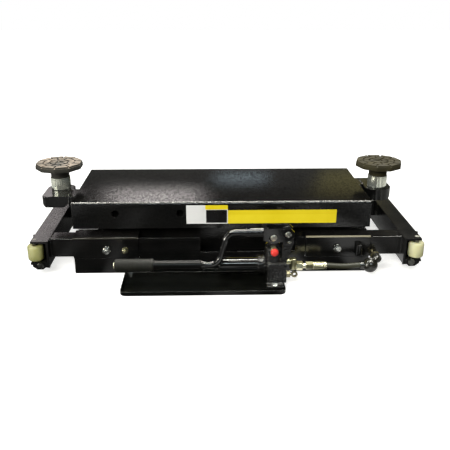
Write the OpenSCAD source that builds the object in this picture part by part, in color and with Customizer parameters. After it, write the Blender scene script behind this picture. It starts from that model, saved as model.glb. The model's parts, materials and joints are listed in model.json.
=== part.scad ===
// Rolling bridge jack: a low scissor lift that spans the two runways of a vehicle lift.
// X runs across the runways, Y along them, Z up. The origin is at the middle of the
// centre tie's underside, on the floor, midway between the two side tracks.

/* [Cover] */
// Length of the folded sheet cover that carries the lifting arms
cover_len = 700; // [660:2:740]
// Depth of the cover, front skirt to rear skirt
cover_depth = 288; // [270:2:310]
// Height of the cover's skirts
cover_height = 64; // [62:1:72]
// Thickness of the cover's sheet
cover_wall = 4; // [3:0.5:5]
// Radius of the cover's folded edges
cover_fold_r = 6; // [5:0.5:9]
// Diameter of the greasing holes in the skirts
grease_hole_d = 17; // [12:0.5:22]

/* [Scissor] */
// Distance between the end pivots of a scissor leg
leg_len = 527; // [500:1:540]
// Height of a leg bar
leg_height = 44; // [36:1:46]
// Thickness of a leg bar
leg_t = 10; // [8:0.5:10.5]
// Distance from the middle of the jack to the fixed pivots
pivot_x = 270; // [255:1:280]
// Height of the lower pivots above the floor
base_pivot_z = 55; // [50:1:60]
// Height of the upper pivots above the lower ones when the jack is down
closed_rise = 88; // [80:1:94]
// Distance from the middle plane to the inner face of an inner leg
leg_inner_y = 78; // [77:0.5:82]
// Side gap between two legs, or between a leg and its roller
leg_gap = 1.2; // [0.8:0.1:2]
// Diameter of the scissor's pins and shafts
pivot_d = 22; // [18:0.5:24]
// Outer diameter of the scissor's rollers
roller_d = 36; // [32:0.5:38]
// Width of the scissor's rollers
roller_w = 11; // [9:0.5:12]
// Thickness of the retaining collar at the end of an axle
collar_t = 1.2; // [1:0.1:2]
// Diameter of the tubes that cross between two legs
cross_tube_d = 20; // [16:0.5:21]
// Distance from the centre pin to the outer legs' cross tube
outer_cross_r = 118; // [112:1:126]
// Distance from the centre pin to the inner legs' cross tube
inner_cross_r = 60; // [50:1:70]
// Radial clearance of a pin in its running bore
fit_gap = 0.05; // [0.03:0.01:0.09]

/* [Base frame] */
// Length of the base frame over its tube sleeves
frame_len = 702; // [680:2:720]
// Outer size of the square sleeves that hold the extension tubes
sleeve_size = 52; // [46:1:54]
// Wall of the sleeves
sleeve_wall = 3; // [2.5:0.5:4]
// Length of each sleeve
sleeve_len = 154; // [146:1:164]
// Height of the base frame
frame_height = 90; // [86:1:94]
// Thickness of the side plates and of the tracks
plate_t = 5; // [4:0.5:6]
// How far the side plates stop short of the sleeves' ends
plate_inset = 1.5; // [1:0.5:6]
// Gap between the end of a sleeve and the raised middle of the side plate
plate_gap = 1.2; // [1:0.1:3]
// Left end of the cut-out in the front plate, measured from the middle
notch_left = -52; // [-60:1:-44]
// Right end of the cut-out in the front plate, measured from the middle
notch_right = 172; // [168:1:178]
// Height of the front plate under its cut-out
notch_z = 52; // [46:1:60]
// Width of the ties under the frame
tie_w = 80; // [60:1:100]
// Thickness of the ties
tie_t = 6; // [5:0.5:8]
// How far the side tracks rise above the sleeves
web_rise = 4; // [2:0.5:8]
// Outer diameter of the socket on the front of the right sleeve
boss_d = 16; // [13:0.5:18]

/* [End rails] */
// Running gap between an extension tube and its sleeve
tube_gap = 0.3; // [0.2:0.05:0.5]
// Wall of the extension tubes
tube_wall = 4; // [3:0.5:5]
// Length of an extension tube inside its sleeve when the rail is pushed fully in
tube_hidden = 146; // [130:1:148]
// Distance from the frame's left end to the left rail, as it stands
left_reach = 52; // [40:1:70]
// Distance from the frame's right end to the right rail, as it stands
right_reach = 75; // [60:1:90]
// Distance from the frame's end to a rail that is pushed fully in
reach_min = 26; // [24:1:32]
// Length of the end rails
rail_len = 360; // [346:2:370]
// Width of a rail's top flange
rail_flange = 40; // [36:1:44]
// Height of a rail's upright leg
rail_leg = 64; // [58:1:66]
// Thickness of a rail
rail_t = 5; // [4:0.5:6]
// Outer diameter of the guide rollers
guide_d = 36; // [32:0.5:38]
// Height of the guide rollers
guide_h = 38; // [32:1:40]
// Chamfer on the guide rollers' edges
guide_chamfer = 4; // [2:0.5:6]
// Distance from a rail's outer edge to the guide rollers' axis
guide_inset = 6.5; // [4:0.5:9]
// Distance from a rail's end to the guide rollers' axis
guide_end = 16; // [14:0.5:19]
// Gap between the rail's flange and a guide roller
guide_drop = 8; // [6:0.5:9]
// Diameter of the guide rollers' axle bolts
guide_axle_d = 12; // [10:0.5:14]
// Diameter of the load wheels
wheel_d = 44; // [38:0.5:44]
// Width of the load wheels
wheel_w = 18; // [14:0.5:20]
// Distance from the middle to each load wheel, along the rail
wheel_y = 80; // [70:1:84]
// Diameter of the load wheels' axles
wheel_axle_d = 14; // [12:0.5:16]

/* [Lifting arms] */
// Width of an arm's tube
arm_w = 62; // [56:1:62]
// Height of an arm's tube and head
arm_h = 28; // [24:1:28]
// Wall of an arm's tube
arm_wall = 4; // [3:0.5:5]
// Distance from the middle plane to the inner side of an arm
arm_inner_y = 10; // [9:0.5:11]
// Running gap between an arm and its guide
arm_gap = 0.3; // [0.2:0.05:0.5]
// Wall of the arms' guide
guide_wall = 3.5; // [3:0.5:4]
// Length of an arm inside the cover when it is pushed in
arm_hidden = 300; // [280:5:320]
// Distance from the cover's end to the middle of the left pad
pad_reach = 52; // [48:1:60]
// How much further in the right arm stands than the left one
right_in = 4.5; // [0:0.5:8]
// Distance from the cover's end to the near side of an arm's head
head_gap = 20; // [16:1:24]
// Distance from a post's axis to the outer end of its head
head_end = 34; // [30:1:38]
// Diameter of the post that stands on an arm's head
post_d = 48; // [42:1:52]
// Height of the post
post_h = 30; // [24:1:40]
// Diameter of the stem under the post
stem_d = 30; // [24:1:34]
// Diameter of a pad
pad_d = 116; // [106:1:126]
// Thickness of a pad's disc
pad_t = 15; // [12:1:18]
// Height of the black neck under a pad
neck_h = 22; // [16:1:26]
// Diameter of the neck
neck_d = 45; // [38:1:48]

/* [Cylinder] */
// Outer diameter of the cylinder's barrel
barrel_d = 60; // [56:1:62]
// Bore of the barrel
barrel_bore = 50; // [44:1:50]
// Left end of the barrel, measured from the middle
barrel_left = -62; // [-64:1:-56]
// Diameter of the cylinder's rod
rod_d = 28; // [24:1:32]
// Diameter of the eyes at both ends of the cylinder
eye_d = 44; // [38:1:48]
// Width of the eyes
eye_w = 36; // [30:1:44]
// Diameter of the steel pressure line
line_d = 8; // [6:0.5:10]

/* [Pump] */
// Distance from the frame's front face to the tray's front edge
tray_depth = 122; // [116:1:130]
// Left end of the tray
tray_left = -230; // [-240:1:-220]
// Right end of the tray
tray_right = 139; // [137:1:146]
// Height of the tray's rim
tray_h = 10; // [8:0.5:12]
// Thickness of the tray's sheet
tray_t = 3; // [2:0.5:3.5]
// Radius of the tray's front corners
tray_r = 14; // [10:1:18]
// Outer diameter of the oil reservoir
reservoir_d = 40; // [36:1:44]
// Length of the reservoir from its collar
reservoir_len = 92; // [80:1:110]
// Distance from the frame's front face to the reservoir's axis
reservoir_y = 29; // [28:0.5:32]
// Height of the reservoir's axis
reservoir_z = 33; // [29:0.5:36]
// Distance from the frame's front face to the plunger's axis
plunger_y = 73; // [71:0.5:75]
// Place of the plunger's axis along the frame
plunger_x = 111; // [108:1:114]
// Diameter of the plunger
plunger_d = 16; // [12:0.5:18]
// Height of the pin that joins the plunger to the lever
plunger_pin_z = 123; // [121:0.5:125]
// Distance along the frame from the plunger to the lever's fulcrum
fulcrum_dx = 32; // [31:0.5:35]
// Height of the fulcrum above the plunger's pin
fulcrum_dz = 7.5; // [5:0.5:8]
// Diameter of the lever's pins
lever_pin_d = 8; // [7:0.5:9]
// Thickness of the lever's plates
lever_t = 4; // [3:0.5:5]
// Diameter of the handle's tube
handle_d = 22; // [20:0.5:24]
// Diameter of the bent rod between the handle's tube and the lever
crank_d = 14; // [12:0.5:16]
// Outer diameter of the lever's socket
socket_d = 19; // [17.5:0.5:22]
// Height of the crank's axis in the lever's socket
socket_z = 130; // [128:0.5:132]
// Height of the handle's axis along its grip
grip_z = 52.5; // [50:0.5:58]
// Diameter of the handle's rubber grip
grip_d = 30; // [27:0.5:32]
// Length of the grip
grip_len = 90; // [80:1:100]
// Length of the handle from the end of its grip to its first bend
handle_run = 216; // [200:2:250]
// Radius of the crank's bends
bend_r = 26; // [22:1:30]

/* [Hidden] */
$fn = 48;

// A cut reaches this far past the face it opens
cut = 1;

// Finishes
black = [0.09, 0.09, 0.10];
zinc = [0.76, 0.78, 0.80];
gold_zinc = [0.80, 0.68, 0.36];
nylon = [0.90, 0.88, 0.70];
rubber = [0.30, 0.29, 0.27];
cream = [0.88, 0.87, 0.78];
red = [0.86, 0.20, 0.16];
steel = [0.62, 0.63, 0.65];

// Scissor geometry with the jack down
closed_angle = asin(closed_rise / leg_len);
slide_x = pivot_x - leg_len * cos(closed_angle);
top_pivot_z = base_pivot_z + closed_rise;
centre_x = (pivot_x + slide_x) / 2;
centre_z = (base_pivot_z + top_pivot_z) / 2;
outer_leg_y = leg_inner_y + leg_t + leg_gap;
roller_gap = leg_gap / 2;
base_roller_y = leg_inner_y + leg_t + roller_gap;
base_axle_end = base_roller_y + roller_w + roller_gap + collar_t;
top_roller_y = outer_leg_y + leg_t + roller_gap;
top_axle_end = top_roller_y + roller_w + roller_gap + collar_t;
collar_d = pivot_d + 6;

// Side tracks stand just outside the outer legs and the base rollers
web_y = max(base_axle_end, outer_leg_y + leg_t) + 1.2;
web_out = web_y + plate_t;
track_gap = 0.3;
track_h = roller_d + 2 * track_gap;
track_left = slide_x - roller_d / 2 - 24;
track_right = centre_x - 72;
top_web_y = top_axle_end + 1;

// Frame
frame_half = web_out + sleeve_size;
frame_end = frame_len / 2;
sleeve_z = frame_height - sleeve_size;
sleeve_in = frame_end - sleeve_len;
plate_end = frame_end - plate_inset;
plate_top = frame_height - 1.5;
front_y = -frame_half;
clamp_x = sleeve_in + 75;
clamp_z = sleeve_z + sleeve_size / 2 - 4;
boss_x = frame_end - 28;
boss_z0 = 44;
boss_z1 = 72;

// Cover
cover_end = cover_len / 2;
cover_half = cover_depth / 2;
cover_top = top_pivot_z + roller_d / 2 + 10;
cover_under = cover_top - cover_wall;
cover_bottom = cover_top - cover_height;
raised_slide_x = pivot_x - leg_len * cos(closed_angle + 36);

// Arms hang just under the cover's top
arm_top = cover_under - guide_wall - arm_gap;
arm_z = arm_top - arm_h;
arm_outer_y = arm_inner_y + arm_w;
guide_side_y = arm_outer_y + arm_gap;
guide_bottom = arm_z - arm_gap - guide_wall;
pad_x = cover_end + pad_reach;
head_x = cover_end + head_gap;
seat_gap = 0.3;
head_bevel = 14;
far_bevel = 9;
web_angle = 50;
head_touch = [pad_x - head_end * cos(web_angle), -head_end * sin(web_angle)];
head_foot_y = head_touch[1] + (head_touch[0] - head_x) / tan(web_angle);
post_z = arm_top + seat_gap;
neck_z = post_z + post_h;
pad_z = neck_z + neck_h;

// Rails and their tubes
tube_size = sleeve_size - 2 * (sleeve_wall + tube_gap);
tube_z = sleeve_z + sleeve_wall + tube_gap;
tube_y = web_out + sleeve_wall + tube_gap;
rail_top = frame_height;
rail_end = rail_len / 2;
guide_y = rail_end - guide_end;
guide_top = rail_top - rail_t - guide_drop;
guide_z = guide_top - guide_h;
wheel_z = rail_top - rail_t - 3 - wheel_d / 2;
shelf_t = 5;
shelf_z = guide_z - 2 - shelf_t;
tab_bottom = rail_top - rail_leg - 6;
tab_bolt_z = tab_bottom + 12;
tab_bolt_in = 14;
rib_y = guide_y - guide_d / 2 - 9;
rib_t = 5;

// Cylinder
shaft_end = web_out;
barrel_right = pivot_x - eye_d / 2 - 10;
gland_len = 22;
piston_len = 24;
piston_left = barrel_left + gland_len + 4;
boss_z = base_pivot_z + barrel_d / 2;

// Pump
tray_front = front_y - tray_depth;
reservoir_axis_y = front_y - reservoir_y;
plunger_axis_y = front_y - plunger_y;
body_left = plunger_x - 15;
body_right = plunger_x + 31;
body_top = 62;
neck_left = body_left - 16;
turret_top = 97;
turret_d = 36;
gland_top = 107;
relief_x = plunger_x + 1;
relief_y = plunger_axis_y - turret_d / 2;
relief_z = 93.5;
foot_z = tray_t + 12;
fulcrum_x = plunger_x + fulcrum_dx;
fulcrum_z = plunger_pin_z + fulcrum_dz;
lever_in = 13;
lever_out = lever_in + lever_t;
ear_in = 7.5;
ear_out = 12;
slot_d = lever_pin_d + 2.8;
slot_angle = atan(fulcrum_dz / fulcrum_dx);
socket_left = plunger_x - 61;
socket_right = plunger_x - 15;
plate_left = socket_right - 8;
plate_rise = 13.5;
crank_in = socket_right - 8;

// Handle: a tube swaged onto the crank, and the crank's S-bend up to the socket
bend_angle = 75;
bend_top_x = socket_left - 20;
bend_lift = bend_r * (1 - cos(bend_angle));
steep_len = (socket_z - grip_z - 2 * bend_lift) / sin(bend_angle);
bend_foot_x = bend_top_x - 2 * bend_r * sin(bend_angle) - steep_len * cos(bend_angle);
grip_left = bend_foot_x - handle_run;
grip_end = 4;
swage_x = bend_foot_x - 10;
swage_len = 9;

// Hose from the pump's outlet along the front plate to the elbow at the frame's end
hose_y = -204;
hose_d = 13;
outlet_z = 46;
fitting_z = 35;
hose_route = [[240, -204, 35], [248, -204, 35], [261, -204, 34], [273, -204, 32.6],
    [286, -204, 32.6], [299, -204, 34], [311, -204, 35], [318, -204, 35]];
ball_at = [342, -204, 35];
ball_d = 35;
neck_end = [361, -188, 45];
union_start = -180;
union_end = -171;
// Steel line from the union, under the extension tube, then along the barrel to its port
line_route = [[361, -172, 45], [361, -168, 44], [361, -163.5, 40.5], [361, -159.5, 36],
    [361, -154, 32.5], [361, -145, 30.5], [361, -130, 29.5], [361, -112, 28.5],
    [361, -92, 27.5], [358, -74, 26.5], [352, -60, 26], [340, -50, 26], [322, -46, 26], [290, -45, 26],
    [230, -45, 26], [160, -45, 26], [90, -45, 26], [30, -45, 26], [0, -45, 26],
    [-18, -45, 27], [-30, -45, 32], [-37, -45, 41], [-38, -43, 50], [-38, -39, 55]];
port_x = -38;

// ---------- shared shapes ----------

// Extrudes a shape drawn in (X, Z) from y0 to y1
module along_y(y0, y1) {
    translate([0, max(y0, y1), 0])
        rotate([90, 0, 0])
            linear_extrude(abs(y1 - y0)) children();
}

// Extrudes a shape drawn in (Y, Z) from x0 to x1
module along_x(x0, x1) {
    translate([min(x0, x1), 0, 0])
        rotate([90, 0, 90])
            linear_extrude(abs(x1 - x0)) children();
}

// A block between two corners
module block(a, b) {
    translate(a) cube(b - a);
}

module pin_x(y, z, x0, x1, d) {
    translate([min(x0, x1), y, z]) rotate([0, 90, 0]) cylinder(h = abs(x1 - x0), d = d);
}

module pin_y(x, z, y0, y1, d) {
    translate([x, min(y0, y1), z]) rotate([-90, 0, 0]) cylinder(h = abs(y1 - y0), d = d);
}

module pin_z(x, y, z0, z1, d) {
    translate([x, y, min(z0, z1)]) cylinder(h = abs(z1 - z0), d = d);
}

// A round bar between two points
module pin_between(a, b, d) {
    v = b - a;
    translate(a)
        rotate([0, acos(v[2] / norm(v)), atan2(v[1], v[0])]) cylinder(h = norm(v), d = d);
}

module hex_y(x, z, y0, y1, across) {
    translate([x, min(y0, y1), z])
        rotate([-90, 0, 0]) cylinder(h = abs(y1 - y0), d = across / cos(30), $fn = 6);
}

module hex_x(y, z, x0, x1, across) {
    translate([min(x0, x1), y, z])
        rotate([0, 90, 0]) cylinder(h = abs(x1 - x0), d = across / cos(30), $fn = 6);
}

module hex_z(x, y, z0, z1, across) {
    translate([x, y, min(z0, z1)]) cylinder(h = abs(z1 - z0), d = across / cos(30), $fn = 6);
}

// The same piece at the front and at the rear
module both_sides() {
    children();
    mirror([0, 1, 0]) children();
}

// A bar with round ends from the origin along +X
module round_bar(len, h) {
    translate([0, -h / 2]) square([len, h]);
    circle(d = h);
    translate([len, 0]) circle(d = h);
}

// A square tube along X
module square_tube(x0, x1, y0, z0, size, wall) {
    difference() {
        block([x0, y0, z0], [x1, y0 + size, z0 + size]);
        block([x0 - cut, y0 + wall, z0 + wall], [x1 + cut, y0 + size - wall, z0 + size - wall]);
    }
}

// Unit vector from a to b
function direction(a, b) = (b - a) / norm(b - a);

// Tangent of a route at its point i
function route_tangent(pts, i) =
    i == 0 ? direction(pts[0], pts[1]) :
    i == len(pts) - 1 ? direction(pts[i - 1], pts[i]) :
    direction(pts[i - 1], pts[i + 1]);

// A tube swept along a route that never runs vertically for long
module swept_tube(pts, d, sides) {
    side = [for (i = [0 : len(pts) - 1])
        let (t = route_tangent(pts, i), s = cross(t, [0.35, 0.2, 1])) s / norm(s)];
    up = [for (i = [0 : len(pts) - 1]) cross(side[i], route_tangent(pts, i))];
    ring = [for (i = [0 : len(pts) - 1], k = [0 : sides - 1])
        pts[i] + d / 2 * (side[i] * cos(360 * k / sides) + up[i] * sin(360 * k / sides))];
    walls = [for (i = [0 : len(pts) - 2], k = [0 : sides - 1])
        let (a = i * sides, b = (i + 1) * sides, n = (k + 1) % sides)
            [a + k, a + n, b + n, b + k]];
    first = [[for (k = [sides - 1 : -1 : 0]) k]];
    last = [[for (k = [0 : sides - 1]) (len(pts) - 1) * sides + k]];
    polyhedron(points = ring, faces = concat(first, walls, last), convexity = 6);
}

// ---------- base frame ----------

// Outline of a side plate: low under the sleeves and high between them
module plate_outline() {
    translate([-plate_end, 0]) square([2 * plate_end, sleeve_z]);
    translate([-(sleeve_in - plate_gap), 0])
        square([2 * (sleeve_in - plate_gap), plate_top]);
}

module side_plates() {
    color(black) {
        difference() {
            along_y(front_y, front_y + plate_t) plate_outline();
            block([notch_left, front_y - cut, notch_z],
                  [notch_right, front_y + plate_t + cut, frame_height]);
        }
        along_y(frame_half - plate_t, frame_half) plate_outline();
    }
}

// A track beam: an upright web with the scissor rollers' channel at its left end
module track_beam() {
    difference() {
        union() {
            block([track_left, web_y, base_pivot_z - track_h / 2 - plate_t],
                  [plate_end, web_out, frame_height + web_rise]);
            block([track_left, base_roller_y, base_pivot_z + track_h / 2],
                  [track_right, web_out, base_pivot_z + track_h / 2 + plate_t]);
            block([track_left, base_roller_y, base_pivot_z - track_h / 2 - plate_t],
                  [track_right, web_out, base_pivot_z - track_h / 2]);
        }
        pin_y(pivot_x, base_pivot_z, web_y - cut, web_out + cut, pivot_d);
    }
}

module side_tracks() {
    color(black) both_sides() track_beam();
}

// Four sleeves; the right front one carries a short upright socket
module tube_sleeves() {
    color(black) {
        both_sides() {
            square_tube(sleeve_in, frame_end, web_out, sleeve_z, sleeve_size, sleeve_wall);
            square_tube(-frame_end, -sleeve_in, web_out, sleeve_z, sleeve_size, sleeve_wall);
        }
        difference() {
            pin_z(boss_x, front_y - boss_d / 2 + 1, boss_z0, boss_z1, boss_d);
            pin_z(boss_x, front_y - boss_d / 2 + 1, boss_z1 - 14, boss_z1 + cut, boss_d - 6);
            block([boss_x - boss_d, front_y, boss_z0 - cut], [boss_x + boss_d, 0, boss_z1 + cut]);
        }
    }
}

module cross_tie(x) {
    block([x - tie_w / 2, -frame_half + plate_t, 0], [x + tie_w / 2, frame_half - plate_t, tie_t]);
}

module cross_ties() {
    tie_x = plate_end - tie_w / 2 - 10;
    color(black) {
        cross_tie(-tie_x);
        cross_tie(0);
        cross_tie(tie_x);
    }
}

module base_pivot_shaft() {
    color(zinc) pin_y(pivot_x, base_pivot_z, -shaft_end, shaft_end, pivot_d);
}

// Hex bolts that clamp the extension tubes in the sleeves
module clamp_bolts() {
    color(zinc) both_sides() for (x = [-clamp_x, clamp_x]) {
        hex_y(x, clamp_z, frame_half, frame_half + 8, 16);
        pin_y(x, clamp_z, frame_half + 8, frame_half + 12, 8);
    }
}

// ---------- pump ----------

// Plan of the tray with round front corners, shrunk by inset
module tray_plan(inset) {
    x0 = tray_left + inset;
    x1 = tray_right - inset;
    y0 = tray_front + inset;
    y1 = front_y - inset;
    r = tray_r - inset;
    translate([x0, y0 + r]) square([x1 - x0, y1 - y0 - r]);
    translate([x0 + r, y0]) square([x1 - x0 - 2 * r, r + cut]);
    for (x = [x0 + r, x1 - r]) translate([x, y0 + r]) circle(r = r);
}

module pump_tray() {
    color(black) difference() {
        linear_extrude(tray_h) tray_plan(0);
        translate([0, 0, tray_t]) linear_extrude(tray_h) tray_plan(tray_t);
    }
}

// The pump's casting: a foot, a rear block round the reservoir's neck, the plunger's
// turret and two ears that carry the lever's fulcrum
module pump_body() {
    y0 = plunger_axis_y - 38;
    y1 = reservoir_axis_y + 26;
    color(black) difference() {
        union() {
            block([body_left, y0, tray_t], [body_right - 8, y1, foot_z]);
            block([body_left + 2, plunger_axis_y - 22, foot_z], [body_right, y1 - 2, body_top]);
            pin_x(reservoir_axis_y, reservoir_z, neck_left, body_left + 2, reservoir_d + 6);
            pin_z(plunger_x, plunger_axis_y, body_top, turret_top, turret_d);
            for (s = [-1, 1])
                along_y(plunger_axis_y + s * ear_in, plunger_axis_y + s * ear_out) {
                    polygon([[plunger_x + 19, body_top - 4], [body_right - 1, body_top - 4],
                             [fulcrum_x + 14, fulcrum_z - 22], [fulcrum_x + 11, fulcrum_z],
                             [fulcrum_x - 11, fulcrum_z], [plunger_x + 19, turret_top]]);
                    translate([fulcrum_x, fulcrum_z]) circle(d = 22);
                }
        }
        pin_z(plunger_x, plunger_axis_y, 34, turret_top + cut, plunger_d + 2 * fit_gap);
        pin_x(reservoir_axis_y, reservoir_z, neck_left - cut, body_left + 12, reservoir_d - 8);
        pin_y(fulcrum_x, fulcrum_z, plunger_axis_y - lever_out, plunger_axis_y + lever_out,
              lever_pin_d);
    }
}

// Oil reservoir: a tube with a domed end cap
module reservoir() {
    x0 = neck_left - reservoir_len;
    color(black) difference() {
        union() {
            pin_x(reservoir_axis_y, reservoir_z, x0 + 3, neck_left, reservoir_d);
            pin_x(reservoir_axis_y, reservoir_z, x0, x0 + 3, reservoir_d - 6);
            pin_x(reservoir_axis_y, reservoir_z, neck_left, body_left + 8, reservoir_d - 8);
        }
        pin_x(reservoir_axis_y, reservoir_z, x0 + 6, body_left + 9, reservoir_d - 14);
    }
}

module plunger_gland() {
    color(black) difference() {
        union() {
            hex_z(plunger_x, plunger_axis_y, turret_top, gland_top - 2, 30);
            pin_z(plunger_x, plunger_axis_y, gland_top - 2, gland_top, 26);
        }
        pin_z(plunger_x, plunger_axis_y, turret_top - cut, gland_top + cut,
              plunger_d + 2 * fit_gap);
    }
}

// Relief valve: a brass hex plug in the front of the turret
module relief_valve() {
    color(gold_zinc) difference() {
        hex_y(relief_x, relief_z, relief_y - 8, plunger_axis_y - 8, 15);
        pin_z(plunger_x, plunger_axis_y, body_top, gland_top, turret_d);
    }
}

module relief_cap() {
    color(red) {
        pin_y(relief_x, relief_z, relief_y - 15, relief_y - 8, 17);
        pin_y(relief_x, relief_z, relief_y - 18, relief_y - 15, 12);
    }
}

// Fulcrum pin with its heads, and the heads of the rivet through the ears below it
module fulcrum_pins() {
    color(zinc) {
        pin_y(fulcrum_x, fulcrum_z, plunger_axis_y - lever_out - 0.4,
              plunger_axis_y + lever_out + 0.4, lever_pin_d);
        for (s = [-1, 1])
            pin_y(fulcrum_x, fulcrum_z, plunger_axis_y + s * (lever_out + 0.4),
                  plunger_axis_y + s * (lever_out + 3), 14);
        for (s = [-1, 1])
            pin_y(fulcrum_x + 4, fulcrum_z - 20, plunger_axis_y + s * ear_out,
                  plunger_axis_y + s * (ear_out + 2.5), 9);
    }
}

// Bolts that hold the pump to the tray and the tray to the frame
module pump_bolts() {
    foot_y = plunger_axis_y - 30;
    color(zinc) {
        hex_z(plunger_x + 4, foot_y, foot_z, foot_z + 6, 13);
        hex_z(plunger_x - 4, reservoir_axis_y + 13, body_top, body_top + 5, 10);
        pin_z(tray_left + 12, front_y - 14, tray_t, tray_t + 4, 14);
    }
}

// Pump outlet: an elbow, a swivel nut, the hose's hex and its crimped ferrule
module hose_fittings() {
    color(zinc) {
        pin_x(hose_y, outlet_z, body_right, body_right + 20, 13);
        pin_z(body_right + 20, hose_y, fitting_z - 8, outlet_z + 8, 17);
        pin_x(hose_y, fitting_z, body_right + 20, body_right + 28, 12);
        hex_x(hose_y, fitting_z, body_right + 28, body_right + 42, 19);
        pin_x(hose_y, fitting_z, body_right + 42, body_right + 50, 12);
        hex_x(hose_y, fitting_z, body_right + 50, body_right + 66, 17);
        pin_x(hose_y, fitting_z, body_right + 66, hose_route[0][0], 18);
    }
}

module hydraulic_hose() {
    color(rubber) swept_tube(hose_route, hose_d, 12);
}

// Swivel elbow by the frame's end: a ball with a collar for the hose and a neck to the union
module swivel_elbow() {
    collar_x = hose_route[len(hose_route) - 1][0];
    color(black) {
        translate(ball_at) sphere(d = ball_d);
        pin_x(hose_y, ball_at[2], collar_x, ball_at[0], 17);
        pin_between(ball_at, neck_end, 18);
        pin_y(neck_end[0], neck_end[2], neck_end[1] - 5, union_start, 20);
    }
}

// Steel line with the union nut that holds it to the elbow
module pressure_line() {
    color(gold_zinc) {
        hex_y(neck_end[0], neck_end[2], union_start, union_end, 19);
        swept_tube(line_route, line_d, 10);
        pin_y(port_x, base_pivot_z, -barrel_d / 2 - 9, -barrel_d / 2 - 4, 14);
    }
}

// ---------- cylinder ----------

module cylinder_barrel() {
    color(black) difference() {
        union() {
            pin_x(0, base_pivot_z, barrel_left, barrel_right, barrel_d);
            block([barrel_right - cut, -eye_w / 2, base_pivot_z - eye_d / 2],
                  [pivot_x, eye_w / 2, base_pivot_z + eye_d / 2]);
            pin_y(pivot_x, base_pivot_z, -eye_w / 2, eye_w / 2, eye_d);
            pin_y(port_x, base_pivot_z, -barrel_d / 2 - 4, 0, 18);
        }
        pin_x(0, base_pivot_z, barrel_left - cut, barrel_right - 12, barrel_bore);
        pin_y(pivot_x, base_pivot_z, -eye_w / 2 - cut, eye_w / 2 + cut, pivot_d);
    }
}

module cylinder_gland() {
    color(steel) difference() {
        union() {
            pin_x(0, base_pivot_z, barrel_left, barrel_left + gland_len, barrel_bore);
            pin_x(0, base_pivot_z, barrel_left - 6, barrel_left, barrel_d - 4);
        }
        pin_x(0, base_pivot_z, barrel_left - 7, barrel_left + gland_len + cut, rod_d + 2 * fit_gap);
    }
}

// Rod with its piston at one end and the eye that pulls the sliding shaft at the other
module cylinder_rod() {
    color(steel) difference() {
        union() {
            pin_x(0, base_pivot_z, slide_x, piston_left + piston_len, rod_d);
            pin_x(0, base_pivot_z, piston_left, piston_left + piston_len,
                  barrel_bore - 2 * fit_gap);
            pin_y(slide_x, base_pivot_z, -eye_w / 2, eye_w / 2, eye_d);
        }
        pin_y(slide_x, base_pivot_z, -eye_w / 2 - cut, eye_w / 2 + cut, pivot_d + 2 * fit_gap);
    }
}

// ---------- scissor ----------

// One outer leg: pivots on the frame at the right and rolls under the cover at the left
module outer_leg() {
    difference() {
        along_y(outer_leg_y, outer_leg_y + leg_t)
            translate([pivot_x, base_pivot_z])
                rotate(180 - closed_angle) round_bar(leg_len, leg_height);
        pin_y(pivot_x, base_pivot_z, outer_leg_y - cut, outer_leg_y + leg_t + cut,
              pivot_d + 2 * fit_gap);
        pin_y(centre_x, centre_z, outer_leg_y - cut, outer_leg_y + leg_t + cut, pivot_d);
        pin_y(slide_x, top_pivot_z, outer_leg_y - cut, outer_leg_y + leg_t + cut, pivot_d);
    }
}

module outer_legs() {
    color(black) both_sides() outer_leg();
}

module outer_cross_tube() {
    x = centre_x - outer_cross_r * cos(closed_angle);
    z = centre_z + outer_cross_r * sin(closed_angle);
    color(black) pin_y(x, z, -outer_leg_y, outer_leg_y, cross_tube_d);
}

// Centre pins, and the axles of the top rollers with their retaining collars
module leg_pins() {
    color(zinc) both_sides() {
        pin_y(centre_x, centre_z, leg_inner_y - 1, outer_leg_y + leg_t, pivot_d);
        pin_y(slide_x, top_pivot_z, outer_leg_y, top_axle_end - collar_t, pivot_d);
        pin_y(slide_x, top_pivot_z, top_axle_end - collar_t, top_axle_end, collar_d);
    }
}

// A scissor roller round the sliding axle
module roller(y0, z) {
    difference() {
        pin_y(slide_x, z, y0, y0 + roller_w, roller_d);
        pin_y(slide_x, z, y0 - cut, y0 + roller_w + cut, pivot_d + 2 * fit_gap);
    }
}

module top_rollers() {
    color(steel) both_sides() roller(top_roller_y, top_pivot_z);
}

// One inner leg: pivots under the cover at the right and rolls on the frame at the left
module inner_leg() {
    difference() {
        along_y(leg_inner_y, leg_inner_y + leg_t)
            translate([pivot_x, top_pivot_z])
                rotate(180 + closed_angle) round_bar(leg_len, leg_height);
        pin_y(pivot_x, top_pivot_z, leg_inner_y - cut, leg_inner_y + leg_t + cut,
              pivot_d + 2 * fit_gap);
        pin_y(centre_x, centre_z, leg_inner_y - cut, leg_inner_y + leg_t + cut,
              pivot_d + 2 * fit_gap);
        pin_y(slide_x, base_pivot_z, leg_inner_y - cut, leg_inner_y + leg_t + cut, pivot_d);
    }
}

module inner_legs() {
    color(black) both_sides() inner_leg();
}

module inner_cross_tube() {
    x = centre_x + inner_cross_r * cos(closed_angle);
    z = centre_z + inner_cross_r * sin(closed_angle);
    color(black) pin_y(x, z, -leg_inner_y, leg_inner_y, cross_tube_d);
}

module rod_shaft() {
    color(zinc) {
        pin_y(slide_x, base_pivot_z, collar_t - base_axle_end, base_axle_end - collar_t, pivot_d);
        both_sides()
            pin_y(slide_x, base_pivot_z, base_axle_end - collar_t, base_axle_end, collar_d);
    }
}

module base_rollers() {
    color(steel) both_sides() roller(base_roller_y, base_pivot_z);
}

// ---------- cover ----------

// Section of the cover in (Y, Z): a folded sheet with round upper edges
module cover_section(half, top, r) {
    translate([-half, cover_bottom]) square([2 * half, top - r - cover_bottom]);
    translate([-half + r, top - r - cut]) square([2 * (half - r), r + cut]);
    for (s = [-1, 1]) translate([s * (half - r), top - r]) circle(r = r);
}

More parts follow.
